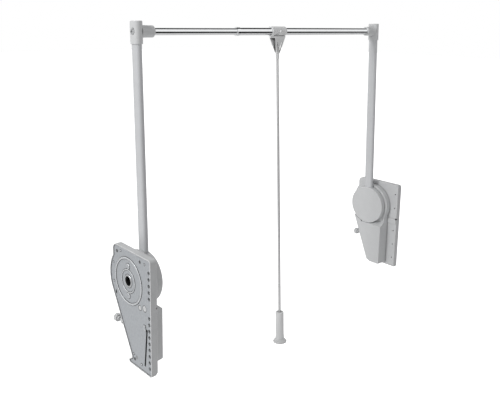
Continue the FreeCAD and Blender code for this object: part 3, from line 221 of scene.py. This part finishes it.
grain, grain_in, grain_out = effect(
    "fine_grain",
    {"Scale": 1000.0, "Cloud Scale": 38.0, "Stretch X": 1.0, "Stretch Y": 1.0, "Stretch Z": 1.0},
    {"Height": "NodeSocketFloat", "Cloud": "NodeSocketFloat"})
place = shader(grain, "ShaderNodeTexCoord")
stretch = shader(grain, "ShaderNodeCombineXYZ", X=grain_in.outputs["Stretch X"],
                 Y=grain_in.outputs["Stretch Y"], Z=grain_in.outputs["Stretch Z"])
spread = shader(grain, "ShaderNodeVectorMath", {"operation": "MULTIPLY"})
grain.links.new(place.outputs["Object"], spread.inputs[0])
grain.links.new(stretch.outputs[0], spread.inputs[1])
speckle = shader(grain, "ShaderNodeTexNoise", Vector=spread.outputs[0], Scale=grain_in.outputs["Scale"],
                 Detail=2.0, Roughness=0.6)
cloud = shader(grain, "ShaderNodeTexNoise", Vector=spread.outputs[0], Scale=grain_in.outputs["Cloud Scale"],
               Detail=4.0, Roughness=0.55)
grain.links.new(speckle.outputs["Fac"], grain_out.inputs["Height"])
grain.links.new(cloud.outputs["Fac"], grain_out.inputs["Cloud"])

# Each pair says where an effect starts and where it is full. Edge wear with a painted highlight shows where
# the rounded normal turns from the surface's own at an open corner, and painted shade where a corner is
# shut in.
WEAR_HIGHLIGHT_TURN = (0.998, 0.955)
WEAR_HIGHLIGHT_OPEN = (0.80, 0.96)
PAINTED_SHADE_SPAN = (0.93, 0.45)

edge, edge_in, edge_out = effect(
    "edges_and_corners", {"Radius": 0.0006, "Reach": 0.004},
    {"Normal": "NodeSocketVector", "Wear And Highlight": "NodeSocketFloat", "Painted Shade": "NodeSocketFloat"})
rounded = shader(edge, "ShaderNodeBevel", {"samples": 6}, Radius=edge_in.outputs["Radius"])
facing = shader(edge, "ShaderNodeNewGeometry")
agree = shader(edge, "ShaderNodeVectorMath", {"operation": "DOT_PRODUCT"})
edge.links.new(rounded.outputs["Normal"], agree.inputs[0])
edge.links.new(facing.outputs["Normal"], agree.inputs[1])
turned_edge = shader(edge, "ShaderNodeMapRange", Value=agree.outputs["Value"],
                     From_Min=WEAR_HIGHLIGHT_TURN[0], From_Max=WEAR_HIGHLIGHT_TURN[1])
shut_in = shader(edge, "ShaderNodeAmbientOcclusion", {"samples": 8, "only_local": True},
                 Distance=edge_in.outputs["Reach"])
# Painted shade: a mask that is full where a corner is shut in.
painted_shade = shader(edge, "ShaderNodeMapRange", Value=shut_in.outputs["AO"],
               From_Min=PAINTED_SHADE_SPAN[0], From_Max=PAINTED_SHADE_SPAN[1])
reachable = shader(edge, "ShaderNodeMapRange", Value=shut_in.outputs["AO"],
                   From_Min=WEAR_HIGHLIGHT_OPEN[0], From_Max=WEAR_HIGHLIGHT_OPEN[1])
# Edge wear with a painted highlight, on open turned edges only.
wear_and_highlight = shader(edge, "ShaderNodeMath", {"operation": "MULTIPLY"})
edge.links.new(turned_edge.outputs["Result"], wear_and_highlight.inputs[0])
edge.links.new(reachable.outputs["Result"], wear_and_highlight.inputs[1])
edge.links.new(rounded.outputs["Normal"], edge_out.inputs["Normal"])
edge.links.new(wear_and_highlight.outputs["Value"], edge_out.inputs["Wear And Highlight"])
edge.links.new(painted_shade.outputs["Result"], edge_out.inputs["Painted Shade"])

# The gloss follows the clouds over this span. The outline, a painted shade line along borders, fades out
# below its first value, covers the tint by its second and darkens it to its third.
CLOUD_SPAN = (0.3, 0.7)
GRAIN_STRENGTH = 0.6
OUTLINE_FADE = 0.15
OUTLINE_COVER = 0.95
OUTLINE_SHADE = 0.08


def finish(name, tints, wear_highlight_tint, rough, metallic, scale, depth, radius=0.0006, stretch=(1, 1, 1),
           painted_shade=(0.003, 0.3), clouds=38.0, outline=False):
    """Material: two tints clouded together, a third tint on edges for wear and painted highlight, and grain
    in the bump.
    It is darker in corners, as painted shade whose reach and depth the shade pair gives, and on a marked
    outline, as a painted shade line."""
    made = bpy.data.materials.new(name)
    made.use_nodes = True
    tree = made.node_tree
    surface = tree.nodes["Principled BSDF"]
    fine = shader(tree, "ShaderNodeGroup", {"node_tree": grain}, Scale=scale, Cloud_Scale=clouds,
                  Stretch_X=stretch[0], Stretch_Y=stretch[1], Stretch_Z=stretch[2])
    rim = shader(tree, "ShaderNodeGroup", {"node_tree": edge}, Radius=radius, Reach=painted_shade[0])
    tint = mixed(tree, fine.outputs["Cloud"], tints[0], tints[1])
    # Painted shade darkens the corners, then edge wear with a painted highlight lightens the open edges.
    shaded = mixed(tree, rim.outputs["Painted Shade"], tint, tuple((1 - painted_shade[1]) * part for part in tints[0]))
    shaded_worn_highlit = mixed(tree, rim.outputs["Wear And Highlight"], shaded, wear_highlight_tint)
    if outline:
        mark = shader(tree, "ShaderNodeAttribute", {"attribute_name": "outline"})
        drawn = shader(tree, "ShaderNodeMapRange", Value=mark.outputs["Fac"], From_Max=OUTLINE_FADE,
                       To_Max=OUTLINE_COVER)
        # Painted shade line: the marked strip darkens to a near-black tint.
        outline_shade_tint = tuple(OUTLINE_SHADE * part for part in tints[0])
        shaded_worn_highlit = mixed(tree, drawn.outputs["Result"], shaded_worn_highlit, outline_shade_tint)
    gloss = shader(tree, "ShaderNodeMapRange", Value=fine.outputs["Cloud"], From_Min=CLOUD_SPAN[0],
                   From_Max=CLOUD_SPAN[1], To_Min=rough[0], To_Max=rough[1])
    bump = shader(tree, "ShaderNodeBump", Strength=GRAIN_STRENGTH, Distance=depth,
                  Height=fine.outputs["Height"], Normal=rim.outputs["Normal"])
    tree.links.new(shaded_worn_highlit, surface.inputs["Base Color"])
    tree.links.new(gloss.outputs["Result"], surface.inputs["Roughness"])
    tree.links.new(bump.outputs["Normal"], surface.inputs["Normal"])
    surface.inputs["Metallic"].default_value = metallic
    return made


def mixed(tree, share, first, second):
    """Colour between two others, each a socket or a colour, by a share."""
    mix = shader(tree, "ShaderNodeMix", {"data_type": "RGBA"}, Factor=share)
    for socket, value in ((mix.inputs[6], first), (mix.inputs[7], second)):
        if isinstance(value, bpy.types.NodeSocket):
            tree.links.new(value, socket)
        else:
            socket.default_value = (*value, 1)
    return mix.outputs[2]


def dress(piece, material, slot, body, *replaced):
    """Gives a piece its material, puts it on its body, and hides the solids it stands for. The slot is not
    used.
    """
    piece.data.materials.append(material)
    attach(piece, body)
    if replaced:
        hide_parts(*replaced)


moulding = finish("grey_moulding", COVER_TINTS, COVER_WORN_HIGHLIGHT, COVER_ROUGH, metallic=0.0,
                  scale=COVER_GRAIN, depth=0.00003, radius=0.0009, painted_shade=(0.005, 0.42))
for side in ("left", "right"):
    dress(merged_copy(side + "_cover_moulding", side + "_cover"), moulding, "grey_moulding",
          side + "_housing", side + "_cover")

# ---- Mounting plates ----------------------------------------------------------------------
# Pressed steel, bright zinc plated, with a ring and a boss pressed out round the hub and
# a row of fixing holes. Each plate is let into the open side of its cover.
PLATE_TINTS = ((0.30, 0.32, 0.345), (0.58, 0.60, 0.62))
# Near-white tint of edge wear and painted highlight on the plates' edges and pressed ring.
PLATE_WORN_HIGHLIGHT = (0.98, 0.99, 1.0)
PLATE_FACE = 0.5035
FACE_SLACK = 2e-5
OUTLINE = 0.0014


def outlined(piece, face, width):
    """Cuts a strip of a given width along the borders of the flat face at a distance from the middle, and
    marks its corners for a painted shade line: 1 at the border and 0 inside."""
    work = bmesh.new()
    work.from_mesh(piece.data)
    mark = work.verts.layers.float.new("outline")
    flat = {f for f in work.faces if all(abs(abs(v.co.x) - face) < FACE_SLACK for v in f.verts)}
    outward = math.copysign(1.0, next(iter(flat)).verts[0].co.x)
    strip = set(bmesh.ops.inset_region(work, faces=list(flat), thickness=width, use_even_offset=True,
                                       use_boundary=True)["faces"])
    for vert in {v for f in strip for v in f.verts}:
        vert[mark] = float(not any(f in flat for f in vert.link_faces))
    work.normal_update()
    bmesh.ops.reverse_faces(work, faces=[f for f in strip | flat if f.normal.x * outward < 0])
    for surface in strip | flat:
        surface.smooth = False
    work.to_mesh(piece.data)
    work.free()
    return piece


zinc = finish("zinc_sheet", PLATE_TINTS, PLATE_WORN_HIGHLIGHT, rough=(0.30, 0.46), metallic=0.5, scale=900.0,
              depth=0.00002, radius=0.0028, stretch=(1, 1, 0.6), painted_shade=(0.006, 0.92), clouds=260.0,
              outline=True)
for side in ("left", "right"):
    # Each plate's face gets a dark strip along every border, a painted shade line for its steps, holes and
    # seam.
    plate = outlined(merged_copy(side + "_plate_pressing", side + "_mounting_plate"), PLATE_FACE, OUTLINE)
    dress(plate, zinc, "zinc_sheet", side + "_housing", side + "_mounting_plate")

# ---- Plate rivets -------------------------------------------------------------------------
# Two flat-headed steel rivets above and below each hub, zinc plated, that hold the axle's
# flange behind the plate. Their tails are set over the flange.
HALF_WIDTH = 505.0
HUB_Y = -17.503
HUB_Z = -589.740
RIVET_OFFSET = 37.4
RIVET_LINE = [(0.3, 0.0), (0.3, 6.0), (0.55, 6.9), (0.9, 7.2), (1.35, 7.2), (1.35, 8.5), (1.5, 8.5),
              (1.5, 3.5), (6.5, 3.5), (6.5, 4.8), (7.9, 4.4), (7.9, 0.0)]
RIVET_HEAD = 7.3
RIVET_EASE = 0.4
SAME_POLE = 1e-7


def wall_place(side, depth, y, z):
    """Place in metres of a spot in millimetres: its depth from a wall face, and y and z from the hub."""
    sign = -1 if side == "left" else 1
    return (sign * (HALF_WIDTH - depth) / 1000, (HUB_Y + y) / 1000, (HUB_Z + z) / 1000)


def eased(profile, radius, steps=5):
    """Profile with round corners: near each one it follows a parabola between two points a radius away."""
    line = np.array(profile, float)
    share = np.linspace(0, 1, steps)[:, None]
    points = [line[:1]]
    for before, tip, after in zip(line[:-2], line[1:-1], line[2:]):
        one = tip + (before - tip) * min(radius / np.linalg.norm(before - tip), 0.5)
        two = tip + (after - tip) * min(radius / np.linalg.norm(after - tip), 0.5)
        points.append((1 - share) ** 2 * one + 2 * share * (1 - share) * tip + share ** 2 * two)
    return np.vstack(points + [line[-1:]])


def closed_skin(name, grid, around_first, around_second):
    """Mesh of a grid of points. A side that goes round joins up, and rows of equal points close into
    a pole."""
    rows, columns = grid.shape[:2]
    index = np.arange(rows * columns).reshape(rows, columns)
    if around_first:
        index = np.vstack([index, index[:1]])
    if around_second:
        index = np.hstack([index, index[:, :1]])
    quads = np.stack([index[:-1, :-1], index[1:, :-1], index[1:, 1:], index[:-1, 1:]], -1).reshape(-1, 4)
    mesh = bpy.data.meshes.new(name)
    mesh.from_pydata(grid.reshape(-1, 3).tolist(), [], quads.tolist())
    work = bmesh.new()
    work.from_mesh(mesh)
    bmesh.ops.remove_doubles(work, verts=work.verts, dist=SAME_POLE)
    bmesh.ops.recalc_face_normals(work, faces=work.faces)
    work.to_mesh(mesh)
    work.free()
    mesh.shade_smooth()
    mesh.set_sharp_from_angle(angle=SHARP_EDGE)
    piece = bpy.data.objects.new(name, mesh)
    scene.collection.objects.link(piece)
    return piece


def turned(name, profile, start, axis, loop=False, turns=96, flutes=0, dip=0.0):
    """Surface of revolution: each (distance along the axis, radius) in millimetres is carried round the
    axis. Flutes are dips in the radius: the dip times a row's share times the fourth power of the cosine of
    half the flutes' angle, where the share is the profile's third column."""
    rows = np.array(profile, float)
    axis = np.array(axis, float) / np.linalg.norm(axis)
    side = np.cross(axis, (0.0, 0.0, 1.0) if abs(axis[2]) < 0.9 else (1.0, 0.0, 0.0))
    side /= np.linalg.norm(side)
    angle = np.linspace(0, 2 * math.pi, turns, endpoint=False)
    circle = np.cos(angle)[:, None] * side + np.sin(angle)[:, None] * np.cross(axis, side)
    radius = np.repeat(rows[:, 1:2], turns, 1)
    if flutes:
        radius -= dip * rows[:, 2:3] * np.cos(angle * flutes / 2) ** 4
    grid = np.array(start, float) + (rows[:, :1, None] * axis + radius[:, :, None] * circle) / 1000
    return closed_skin(name, grid, loop, True)


def joined(name, pieces):
    """One piece made of several that are alike."""
    for other in pieces[1:]:
        work = bmesh.new()
        work.from_mesh(pieces[0].data)
        work.from_mesh(other.data)
        work.to_mesh(pieces[0].data)
        work.free()
        bpy.data.objects.remove(other)
    pieces[0].name = name
    return pieces[0]


for side, inward in (("left", (1, 0, 0)), ("right", (-1, 0, 0))):
    pair = [turned(side + "_rivet", eased(RIVET_LINE, RIVET_EASE),
                   wall_place(side, 0, 0, sign * RIVET_OFFSET), inward) for sign in (-1, 1)]
    pair = joined(side + "_rivet_pair", pair)
    # A mark on the rims round the heads draws the same painted shade line round the rivets.
    spots = np.empty(3 * len(pair.data.vertices))
    pair.data.vertices.foreach_get("co", spots)
    up, along = 1000 * spots[2::3] - HUB_Z, 1000 * spots[1::3] - HUB_Y
    rim = np.hypot(along, np.abs(up) - RIVET_OFFSET) > RIVET_HEAD
    pair.data.attributes.new("outline", "FLOAT", "POINT").data.foreach_set("value", rim.astype(float))
    dress(pair, zinc, "zinc_sheet", side + "_housing", side + "_plate_rivets")

# ---- Cover screws -------------------------------------------------------------------------
# Three small pan-head cross-recess screws per unit, of blackened steel, through the plate
# into the moulded cores of the cover.
SCREW_PLACES = ((48.5, 62.5), (-51.5, 64.5), (-23.03, -194.0))
SCREW_HEAD = (1.72, 3.5, 2.88)
SCREW_SHANK = (11.0, 1.5)
SCREW_CROSS = (1.9, 0.42, 1.1)
SLOT_WALL = 0.5
SLOT_END = 0.3
SCREW_DOME = 0.25


def cross_screw(name, start, axis, head, shank, cross, rings=26, turns=96):
    """Screw with a cross recess: a turned body whose top is pushed in where a point lies in one of two
    crossed slots. The push is the depth times how far the point is inside the slot's sloping walls. The
    head is (top, underside, radius), the shank (end, radius) and the cross (half length, half width,
    depth), all in millimetres."""
    top, under, outer = head
    length, width, depth = cross
    end, thin = shank
    reach = outer * np.linspace(0, 1, rings)
    angle = np.linspace(0, 2 * math.pi, turns, endpoint=False)
    across = reach[:, None] * np.cos(angle)
    along = reach[:, None] * np.sin(angle)
    near = np.minimum(np.abs(across), np.abs(along))
    far = np.maximum(np.abs(across), np.abs(along))
    in_width = np.clip((width - near) / (SLOT_WALL * width), 0, 1)
    in_length = np.clip((length - far) / (SLOT_END * length), 0, 1)
    level = top + SCREW_DOME * (reach[:, None] / outer) ** 4 + depth * in_width * in_length
    lower = np.array([(under, outer), (under, thin), (end - thin, thin), (end, 0.0)])
    depths = np.vstack([level, np.repeat(lower[:, :1], turns, 1)])
    radii = np.concatenate([reach, lower[:, 1]])
    inward = np.array(axis, float)
    side = np.array((0.0, 1.0, 0.0))
    circle = np.cos(angle)[:, None] * side + np.sin(angle)[:, None] * np.cross(inward, side)
    grid = np.array(start) + (depths[:, :, None] * inward + radii[:, None, None] * circle) / 1000
    return closed_skin(name, grid, False, True)


black_screw = finish("screw_steel", ((0.14, 0.14, 0.145), (0.20, 0.20, 0.205)), (0.55, 0.55, 0.56),
                     rough=(0.28, 0.4), metallic=0.85, scale=1800.0, depth=0.00001, radius=0.0004)
for side, inward in (("left", (1, 0, 0)), ("right", (-1, 0, 0))):
    three = [cross_screw(side + "_screw", wall_place(side, 0, y, z), inward, SCREW_HEAD, SCREW_SHANK,
                         SCREW_CROSS) for y, z in SCREW_PLACES]
    dress(joined(side + "_screw_set", three), black_screw, "screw_steel", side + "_housing",
          side + "_cover_screws")

# ---- Hub axles ----------------------------------------------------------------------------
# Turned steel axle, zinc plated and riveted behind the plate. A spring ring on its end keeps
# the hub barrel on its nylon bush.
# Its far-reaching corner darkening is painted shade, which turns the axle's bore nearly black.
turned_zinc = finish("zinc_casting", ((0.42, 0.43, 0.44), (0.54, 0.55, 0.56)), (0.9, 0.91, 0.92),
                     rough=(0.22, 0.36), metallic=0.75, scale=1500.0, depth=0.00001, radius=0.0009,
                     painted_shade=(0.025, 0.97))
dark_spring = finish("spring_steel", ((0.10, 0.10, 0.105), (0.16, 0.16, 0.165)), (0.4, 0.4, 0.4),
                     rough=(0.28, 0.42), metallic=0.9, scale=1800.0, depth=0.00001, radius=0.0004)
nylon = finish("bearing_nylon", ((0.62, 0.61, 0.57), (0.68, 0.67, 0.63)), (0.75, 0.74, 0.70),
               rough=(0.38, 0.5), metallic=0.0, scale=1500.0, depth=0.00002)


def refinish(node, material):
    """Puts a material on a solid that is shown as it is."""
    nodes[node].data.materials.clear()
    nodes[node].data.materials.append(material)


for side in ("left", "right"):
    dress(merged_copy(side + "_axle_turning", side + "_hub_axle"), turned_zinc, "zinc_casting",
          side + "_housing", side + "_hub_axle")
    refinish(side + "_retaining_ring", dark_spring)
    refinish(side + "_hub_bush", nylon)

# ---- Stop buffers -------------------------------------------------------------------------
# Two black rubber studs per unit inside the cover, which the crank meets at both ends of
# its swing.
rubber = finish("buffer_rubber", ((0.02, 0.02, 0.02), (0.035, 0.035, 0.035)), (0.06, 0.06, 0.06),
                rough=(0.6, 0.75), metallic=0.0, scale=2200.0, depth=0.00003)
for side in ("left", "right"):
    refinish(side + "_stop_buffers", rubber)

# ---- Lift springs -------------------------------------------------------------------------
# A close-wound extension spring of oiled steel per unit, hooked on the crank's pin and on the
# anchor lever, which turns on a pin in the plate. Crank, lever and pins are zinc plated.
for side in ("left", "right"):
    refinish(side + "_lift_spring", dark_spring)
    for node in ("_crank_lever", "_crank_pin", "_anchor_lever", "_lever_pivot"):
        refinish(side + node, turned_zinc)

# ---- Force adjusters ----------------------------------------------------------------------
# A steel adjusting screw in a moulded bush on the cover's sloping edge, with a fluted thumb
# knob of grey plastic pressed on its end.
KNOB_DEPTH = 11.5
KNOB_Z = -124.0
KNOB_LINE = [(59.0, 0.0, 0), (59.0, 6.0, 0), (64.0, 6.0, 0), (64.0, 9.0, 0), (65.0, 10.3, 1),
             (70.0, 10.5, 1), (75.0, 10.3, 1), (76.0, 9.0, 0.6), (76.0, 4.0, 0), (75.4, 0.0, 0)]
KNOB_EASE = 0.8
KNOB_FLUTES = 8
FLUTE_DIP = 1.5
bright_steel = finish("bright_steel", ((0.45, 0.46, 0.47), (0.58, 0.59, 0.60)), (0.85, 0.85, 0.85),
                      rough=(0.2, 0.34), metallic=0.9, scale=1800.0, depth=0.00001, radius=0.0004)
for side in ("left", "right"):
    refinish(side + "_adjuster_screw", bright_steel)
    dress(merged_copy(side + "_bush_moulding", side + "_adjuster_bush"), moulding, "grey_moulding",
          side + "_housing", side + "_adjuster_bush")
    knob = turned(side + "_knob_moulding", eased(KNOB_LINE, KNOB_EASE),
                  wall_place(side, KNOB_DEPTH, 0, KNOB_Z), (0, 1, 0), turns=160, flutes=KNOB_FLUTES,
                  dip=FLUTE_DIP)
    dress(knob, moulding, "grey_moulding", side + "_adjuster", side + "_adjuster_knob")

# ---- Hub discs ----------------------------------------------------------------------------
# Moulded carrier that turns with the arm, and its snapped-in round face. Two hidden screws
# clamp the arm's foot in its channel.
for side in ("left", "right"):
    dress(merged_copy(side + "_disc_moulding", side + "_hub_disc"), moulding, "grey_moulding",
          side + "_arm", side + "_hub_disc")
    dress(merged_copy(side + "_cap_moulding", side + "_hub_cap"), moulding, "grey_moulding",
          side + "_arm", side + "_hub_cap")
    refinish(side + "_arm_screws", bright_steel)

# ---- Arms ---------------------------------------------------------------------------------
# Flat-oval steel tube, 30 by 15 mm, powder coated light grey with a faint orange peel.
ARM_LEAN = math.radians(1.7)
ARM_DEPTH = 47.5
ARM_ENDS = (24.0, 608.0)
ARM_SECTION = (30.0, 15.0, 1.5)
coating = finish("coated_tube", ((0.57, 0.58, 0.595), (0.62, 0.63, 0.645)), (0.70, 0.71, 0.72),
                 rough=(0.30, 0.40), metallic=0.0, scale=420.0, depth=0.00005, painted_shade=(0.006, 0.3))


def oval_tube(name, section, ends, start, lean, bend=32, ease=0.3):
    """Flat-oval tube: two half circles joined by straights, drawn in by each step's inset, are carried
    through a closed half section of (distance along, inset) steps. Sizes in millimetres."""
    wide, thick, wall = section
    low, high = ends
    steps = np.array([(low, wall), (low, ease), (low + ease, 0),
                      (high - ease, 0), (high, ease), (high, wall)])
    turn = np.linspace(-math.pi / 2, math.pi / 2, bend)
    turn = np.concatenate([turn, turn + math.pi])
    centre = np.repeat(((wide - thick) / 2, (thick - wide) / 2), bend)
    radius = thick / 2 - steps[:, 1:2]
    across = centre + radius * np.cos(turn)
    flat = radius * np.sin(turn)
    up = np.array((0.0, math.sin(lean), math.cos(lean)))
    out = np.array((0.0, math.cos(lean), -math.sin(lean)))
    grid = np.array(start) + (steps[:, :1, None] * up + across[:, :, None] * out
                              + flat[:, :, None] * np.array((1.0, 0.0, 0.0))) / 1000
    return closed_skin(name, grid, True, True)


for side in ("left", "right"):
    arm = oval_tube(side + "_arm_profile", ARM_SECTION, ARM_ENDS, wall_place(side, ARM_DEPTH, 0, 0),
                    ARM_LEAN)
    dress(arm, coating, "coated_tube", side + "_arm", side + "_arm_tube")

# ---- Rail brackets ------------------------------------------------------------------------
# Moulded corner that caps the arm and holds the rail's end in a flared socket. A large
# cross-recess screw runs through it into a plug in the rail.
BRACKET_TINTS = ((0.60, 0.608, 0.615), (0.66, 0.668, 0.675))
bracket_moulding = finish("bracket_moulding", BRACKET_TINTS, (0.76, 0.765, 0.77), COVER_ROUGH,
                          metallic=0.0, scale=COVER_GRAIN, depth=0.00003, radius=0.0008,
                          painted_shade=(0.006, 0.5))
for side in ("left", "right"):
    dress(merged_copy(side + "_bracket_moulding", side + "_rail_bracket"), bracket_moulding,
          "grey_moulding", side + "_arm", side + "_rail_bracket")
    dress(merged_copy(side + "_screw_turning", side + "_bracket_screw"), bright_steel, "screw_steel",
          side + "_arm", side + "_bracket_screw")
    refinish(side + "_rail_plug", nylon)

# ---- Hanging rail -------------------------------------------------------------------------
# Two drawn steel tubes, polished and chrome plated, the thinner one sliding in the thicker,
# with a lipped ring on the thicker one's open end and a plastic glide inside.
OUTER_TUBE = (10.5, 1.2)
INNER_TUBE = (9.0, 1.2)
COLLAR_LIP = (11.6, 9.3, 11.0, 2.0)
COLLAR_EASE = 0.9
chrome = finish("chrome_tube", ((0.80, 0.81, 0.82), (0.86, 0.87, 0.88)), (0.95, 0.95, 0.95),
                rough=(0.03, 0.07), metallic=1.0, scale=2500.0, depth=0.000002, radius=0.0004,
                painted_shade=(0.002, 0.2))


def rolled_end_tube(outer, wall, start, end, ease=0.3):
    """Closed half section of a tube: bore, eased rims and outer line."""
    inner = outer - wall
    return [(start, inner), (start, outer - ease), (start + ease, outer), (end - ease, outer),
            (end, outer - ease), (end, inner)]


for tube, (outer, wall), body in (("outer_rail", OUTER_TUBE, "right_arm"),
                                  ("inner_rail", INNER_TUBE, "left_arm")):
    low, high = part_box(tube + "_tube")
    tube_line = rolled_end_tube(outer, wall, low.x * 1000, high.x * 1000)
    dress(turned(tube + "_chrome", tube_line, (0, 0, 0), (1, 0, 0), loop=True), chrome, "chrome_tube",
          body, tube + "_tube")
lip, bore, length, front = COLLAR_LIP
low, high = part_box("rail_collar")
collar_line = [(0, bore), (0, lip - COLLAR_EASE), (COLLAR_EASE, lip), (length - COLLAR_EASE, lip),
               (length, lip - COLLAR_EASE), (length, OUTER_TUBE[0]), (front, OUTER_TUBE[0]), (front, bore)]
dress(turned("rail_collar_ring", collar_line, (low.x, 0, 0), (1, 0, 0), loop=True), chrome, "chrome_tube",
      "right_arm", "rail_collar")
refinish("rail_glide", nylon)

# ---- Handle sleeve ------------------------------------------------------------------------
# Injection-moulded ring of pale grey plastic, threaded on the rail with a running fit. The
# rail turns inside it as the arms swing, so that it stays upright and carries the yoke.
SLEEVE = (13.5, 10.8)
SLEEVE_EASE = 1.2
# Its tints are paler than the covers' grey moulding: painted light on the handle's front faces, which the
# key lamp misses.
lit_handle_moulding = finish("lit_handle_moulding", ((0.78, 0.785, 0.79), (0.84, 0.845, 0.85)), (0.90, 0.90, 0.905),
                         COVER_ROUGH, metallic=0.0, scale=COVER_GRAIN, depth=0.00003, radius=0.0008,
                         painted_shade=(0.008, 0.75))
low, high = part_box("handle_sleeve")
outer, bore = SLEEVE
length = (high.x - low.x) * 1000
sleeve_line = [(0, bore), (0, outer - SLEEVE_EASE), (SLEEVE_EASE, outer), (length - SLEEVE_EASE, outer),
               (length, outer - SLEEVE_EASE), (length, bore)]
dress(turned("handle_sleeve_moulding", sleeve_line, (low.x, 0, 0), (1, 0, 0), loop=True), lit_handle_moulding,
      "grey_moulding", "sleeve", "handle_sleeve")

# ---- Handle yoke --------------------------------------------------------------------------
# Clip-on moulding of the sleeve's plastic: two pointed tongues grip the sleeve, and ribbed
# struts run down to the socket that holds the rod.
dress(merged_copy("handle_yoke_moulding", "handle_yoke"), lit_handle_moulding, "grey_moulding", "handle",
      "handle_yoke")

# ---- Handle rod ---------------------------------------------------------------------------
# Thin steel rod, drawn and coated grey, and cut square at both ends. It is glued in the
# yoke's socket and in the grip.
HANDLE_X = 3.0
HANDLE_LEAN = math.radians(2.7)
HANDLE_AXIS = (0, math.sin(HANDLE_LEAN), math.cos(HANDLE_LEAN))
ROD = (4.0, -871.0, -38.0)
ROD_EASE = 0.4
rod_coating = finish("handle_tube", ((0.62, 0.622, 0.625), (0.68, 0.682, 0.685)), (0.75, 0.75, 0.75),
                     rough=(0.25, 0.35), metallic=0.2, scale=900.0, depth=0.00003)
radius, foot, head = ROD
rod_line = [(foot, 0), (foot, radius), (head, radius), (head, 0)]
dress(turned("handle_rod_bar", eased(rod_line, ROD_EASE), (HANDLE_X / 1000, 0, 0), HANDLE_AXIS),
      rod_coating, "handle_tube", "handle", "handle_rod")

# ---- Handle grip --------------------------------------------------------------------------
# Slim hollow grip, moulded in pale grey plastic, a little thicker at its lower end and open
# round the rod at its top. It is glued on the rod's foot.
GRIP_LINE = [(-915.5, 6.0), (-915.5, 13.2), (-909.5, 13.2), (-903.5, 12.4), (-832.6, 12.4), (-831.0, 10.8),
             (-831.0, 6.6), (-834.0, 6.6), (-834.0, 4.0), (-871.0, 4.0), (-871.0, 0.0)]
PEG_HOLE = [(-903.5, 0.0), (-903.5, 6.0)]
GRIP_EASE = 0.7
dress(turned("grip_moulding", eased(PEG_HOLE + GRIP_LINE, GRIP_EASE), (HANDLE_X / 1000, 0, 0), HANDLE_AXIS),
      lit_handle_moulding, "grey_moulding", "handle", "handle_grip")

# ---- Grip skirt ---------------------------------------------------------------------------
# Flared end cap of the grip's plastic, hollow below, with notches round its edge. Its peg is
# pressed into the grip's lower end.
SKIRT_LINE = [(-903.5, 0.0, 0), (-903.5, 6.0, 0), (-915.5, 6.0, 0), (-915.5, 13.8, 0), (-918.0, 15.0, 0),
              (-920.5, 17.4, 0), (-922.5, 19.7, 0.3), (-923.7, 20.8, 1), (-926.5, 20.8, 1),
              (-926.5, 18.6, 0), (-924.6, 18.5, 0), (-917.7, 11.6, 0), (-917.7, 0.0, 0)]
SKIRT_EASE = 0.5
SKIRT_NOTCHES = 12
skirt = turned("skirt_moulding", eased(SKIRT_LINE, SKIRT_EASE), (HANDLE_X / 1000, 0, 0), HANDLE_AXIS,
               turns=240, flutes=SKIRT_NOTCHES, dip=FLUTE_DIP)
dress(skirt, lit_handle_moulding, "grey_moulding", "handle", "grip_skirt")
